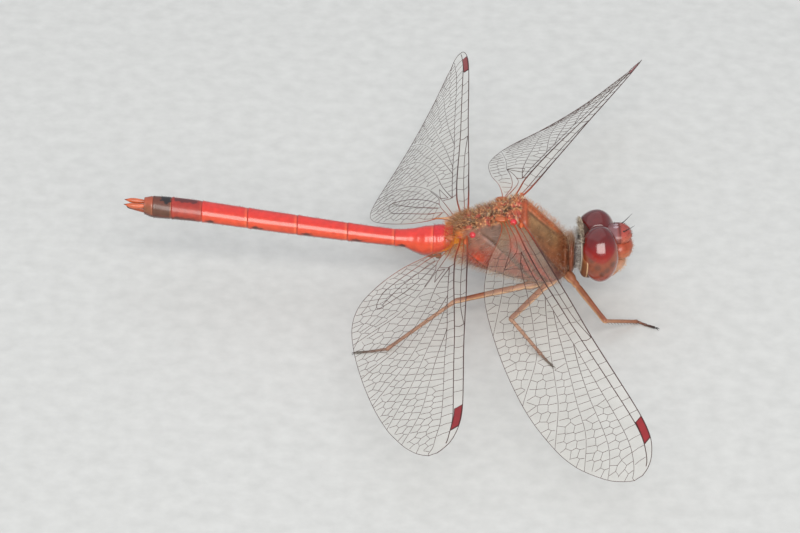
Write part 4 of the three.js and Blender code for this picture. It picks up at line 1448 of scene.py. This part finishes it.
def lies(rng, count, lean, spread):
    """Ways that hairs lean over, scattered round one."""
    return np.array(lean) + rng.normal(0, spread, (count, 3))


def either(rng, chance, first, second):
    """first, a colour as the eye sees it, with the given chance for each hair, and otherwise second."""
    return np.where((rng.uniform(0, 1, len(chance)) < chance)[:, None], light(first), light(second))


def ways_round(angle, ahead=0):
    """Ways out from the trunk at angles round it, slanted by ahead."""
    return unit(np.stack([np.full(len(angle), ahead), np.cos(angle), np.sin(angle)], -1))


def turn_places(angle, share):
    """Places on a bake's map for hairs at angles round the trunk and a share of the way along it."""
    return 0.02 + 0.9 * np.stack([angle / (2 * np.pi), share], -1)


def thorax_hair(rng):
    x = rng.uniform(-3.9, 3.5, THORAX_HAIRS)
    angle = rng.uniform(0, 2 * np.pi, THORAX_HAIRS)
    down = degrees_down(angle)
    top, between_wings = rise(down, 30, 12), rise(down, 48, 40) * rise(x, 0.5, 0.3)
    crowd = 0.3 + 0.6 * rise(x, -2.4, -3.2) + 0.12 * rise(down, 50, 80) + 0.35 * between_wings
    chosen = rng.uniform(0, 1, THORAX_HAIRS) < crowd + 0.5 * top * rise(x, 0.6, 1.0)
    x, angle, down, top, between_wings = (values[chosen] for values in (x, angle, down, top, between_wings))
    count = len(x)
    roots, normals = thorax_surface(x, angle)
    lie = lies(rng, count, (-0.5, 0, -0.25), 0.3)
    lengths = rng.uniform(0.25, 0.5, count) + 0.3 * rise(x, -2.6, -3.6) + 0.2 * rise(x, 0.9, 1.6) * top
    lengths *= 1 - 0.55 * bump_at(x, 0.1, 0.9) * rise(down, 45, 30)
    tone = coats((0.74, 0.46, 0.24), (0.9, 0.79, 0.62, rng.uniform(0, 1, count)))
    tone = either(rng, 0.22 * between_wings + 0.08, (0.22, 0.16, 0.13), tone)
    tone = either(rng, 0.28 * rise(down, 45, 60), (0.88, 0.84, 0.8), tone)
    colours = blend(thorax_paint(x, down, roots[:, 1]), tone, 0.6 - 0.15 * rise(x, 0.7, 1.2))
    places = turn_places(angle, (x + 3.95) / 7.6)
    return merged([hairs(roots, normals, lie, lengths, 0.0068, colours, places), top_bristles(rng)])


def top_bristles(rng):
    """Stiffer hairs between the wings, pale, orange and dark, that stand every way."""
    count = WING_BRISTLES
    x = rng.uniform(-3.7, 0.5, count)
    angle = np.pi / 2 + rng.uniform(-0.85, 0.85, count)
    roots, normals = thorax_surface(x, angle)
    lie = lies(rng, count, (-0.2, 0, 0), 0.6)
    tones = np.array([light(tone) for tone in ((0.9, 0.82, 0.66), (0.8, 0.46, 0.22), (0.16, 0.11, 0.09))])
    colours = tones[rng.choice(3, count, p=[0.4, 0.3, 0.3])]
    places = turn_places(angle, (x + 3.95) / 7.6)
    return hairs(roots, normals, lie, rng.uniform(0.25, 0.5, count), 0.01, colours, places)


def abdomen_hair(rng):
    """Longer hair on the first two rings, and sparse short bristles on the others."""
    parts = []
    for number in range(1, 11):
        crowd, long, radius, tone = RING_HAIR.get(number, USUAL_RING_HAIR)
        count = int(crowd * ring_length(number))
        share = rng.uniform(0.05, 0.97, count)
        angle = rng.uniform(0, 2 * np.pi, count)
        roots = ring_surface(number, share, angle)
        round_it = ring_surface(number, share, angle + NORMAL_STEP) - roots
        normals = unit(np.cross(round_it, roots - ring_surface(number, share + NORMAL_STEP, angle)))
        outward = ((roots - trunk_middle(ABDOMEN, roots[:, 0])) * normals).sum(-1, keepdims=True)
        normals *= np.sign(outward)
        lengths = rng.uniform(0.7, 1.2, count) * long
        lie = lies(rng, count, (-1.0, 0, 0), 0.25)
        colours = blend(ring_paint(number, share, degrees_down(angle), roots[:, 0]), tone, 0.6)
        places = turn_places(angle, (-roots[:, 0] - 4) / 20)
        parts.append(hairs(roots, normals, lie, lengths, radius, colours, places))
    return merged(parts)


def collar_hair(rng):
    """A fringe of long hair on the prothorax."""
    count = COLLAR_HAIRS
    angle = np.pi / 2 + rng.normal(0, 0.8, count)
    x = rng.normal(3.68, 0.16, count)
    roots = trunk_points(PROTHORAX, x, angle, scale=1.04)
    lie = lies(rng, count, (-0.25, 0, 0), 0.35)
    lengths = rng.uniform(0.3, 0.95, count)
    colours = coats((0.48, 0.25, 0.16), (0.86, 0.76, 0.64, rng.uniform(0, 1, count) ** 1.5))
    places = np.clip(np.stack([0.05 + 0.13 * angle, 0.05 + 0.4 * (x - 3.4)], -1), 0.01, 0.99)
    return hairs(roots, ways_round(angle), lie, lengths, 0.006, colours, places)


def face_hair(form, count, long, tone, rng):
    """Short hair on the front of one part of the face. The vertex has it on top as well."""
    ways = unit(rng.normal(0, 1, (count * 3, 3)))
    ways = ways[(ways[:, 0] > 0.2) | ((form is VERTEX) & (ways[:, 2] > 0))][:count]
    roots = form["at"] + ways * form["radii"]
    lie = lies(rng, len(ways), (0, 0, 0.1), 0.3)
    lengths = rng.uniform(0.6, 1.1, len(ways)) * long
    normals, places = unit(ways / form["radii"]), 0.5 + 0.45 * ways[:, 1:]
    return hairs(roots, normals, lie, lengths, HEAD_HAIR_RADIUS, tone, places)


def neck_hair(rng):
    """A tuft behind the vertex, between the eyes and the neck, and one in the hollow round the neck."""
    count = TUFT_HAIRS
    x = rng.uniform(4.21, 4.45, count)
    angle = np.pi / 2 + np.clip(rng.normal(0, 0.5, count), -0.8, 0.8)
    roots = capsule_surface(x, angle)
    lie = lies(rng, count, (-0.7, 0, 0.2), 0.3)
    colours = either(rng, np.full(count, 0.5), (0.4, 0.32, 0.26), (0.86, 0.81, 0.73))
    places = np.clip(np.stack([0.05 + 0.13 * angle, 0.3 + 0.5 * (x - 4.2)], -1), 0.01, 0.99)
    lengths = rng.uniform(0.2, 0.42, count)
    tuft = hairs(roots, ways_round(angle, -0.4), lie, lengths, HEAD_HAIR_RADIUS, colours, places)
    count = HOLLOW_HAIRS
    angle = np.pi / 2 + rng.uniform(0.6, 2.5, count) * rng.choice([-1, 1], count)
    roots = capsule_surface(np.full(count, 4.21), angle, rng.uniform(0.7, 0.99, count))
    normals = np.broadcast_to([-1.0, 0, 0], roots.shape)
    lie = lies(rng, count, ways_round(angle) * 0.4, 0.35)
    colours = coats((0.52, 0.46, 0.42), (0.92, 0.9, 0.87, rng.uniform(0, 1, count)))
    places = np.stack([0.5 + 0.15 * (angle - np.pi / 2), rng.uniform(0.02, 0.1, count)], -1)
    lengths = rng.uniform(0.2, 0.5, count)
    return [tuft, hairs(roots, normals, lie, lengths, HEAD_HAIR_RADIUS, colours, places)]


def head_hair(rng):
    return merged([face_hair(*row, rng) for row in FACE_HAIR] + neck_hair(rng))


def add_hair():
    material = painted_material("hair", rough=0.55, specular=0.3)
    rng = np.random.default_rng(SEED + 2)
    add_piece("thorax_hair", thorax_hair(rng), material, smooth=False)
    add_piece("abdomen_hair", abdomen_hair(rng), material, smooth=False)
    add_piece("collar_hair", collar_hair(rng), material, smooth=False)
    add_piece("head_hair", head_hair(rng), material, smooth=False, head=True)


# ---- the model ----
add_camera()
add_studio()
add_eyes()
add_face()
add_antennae()
add_head_capsule()
add_thorax()
add_abdomen()
add_legs()
add_wings()
add_hair()
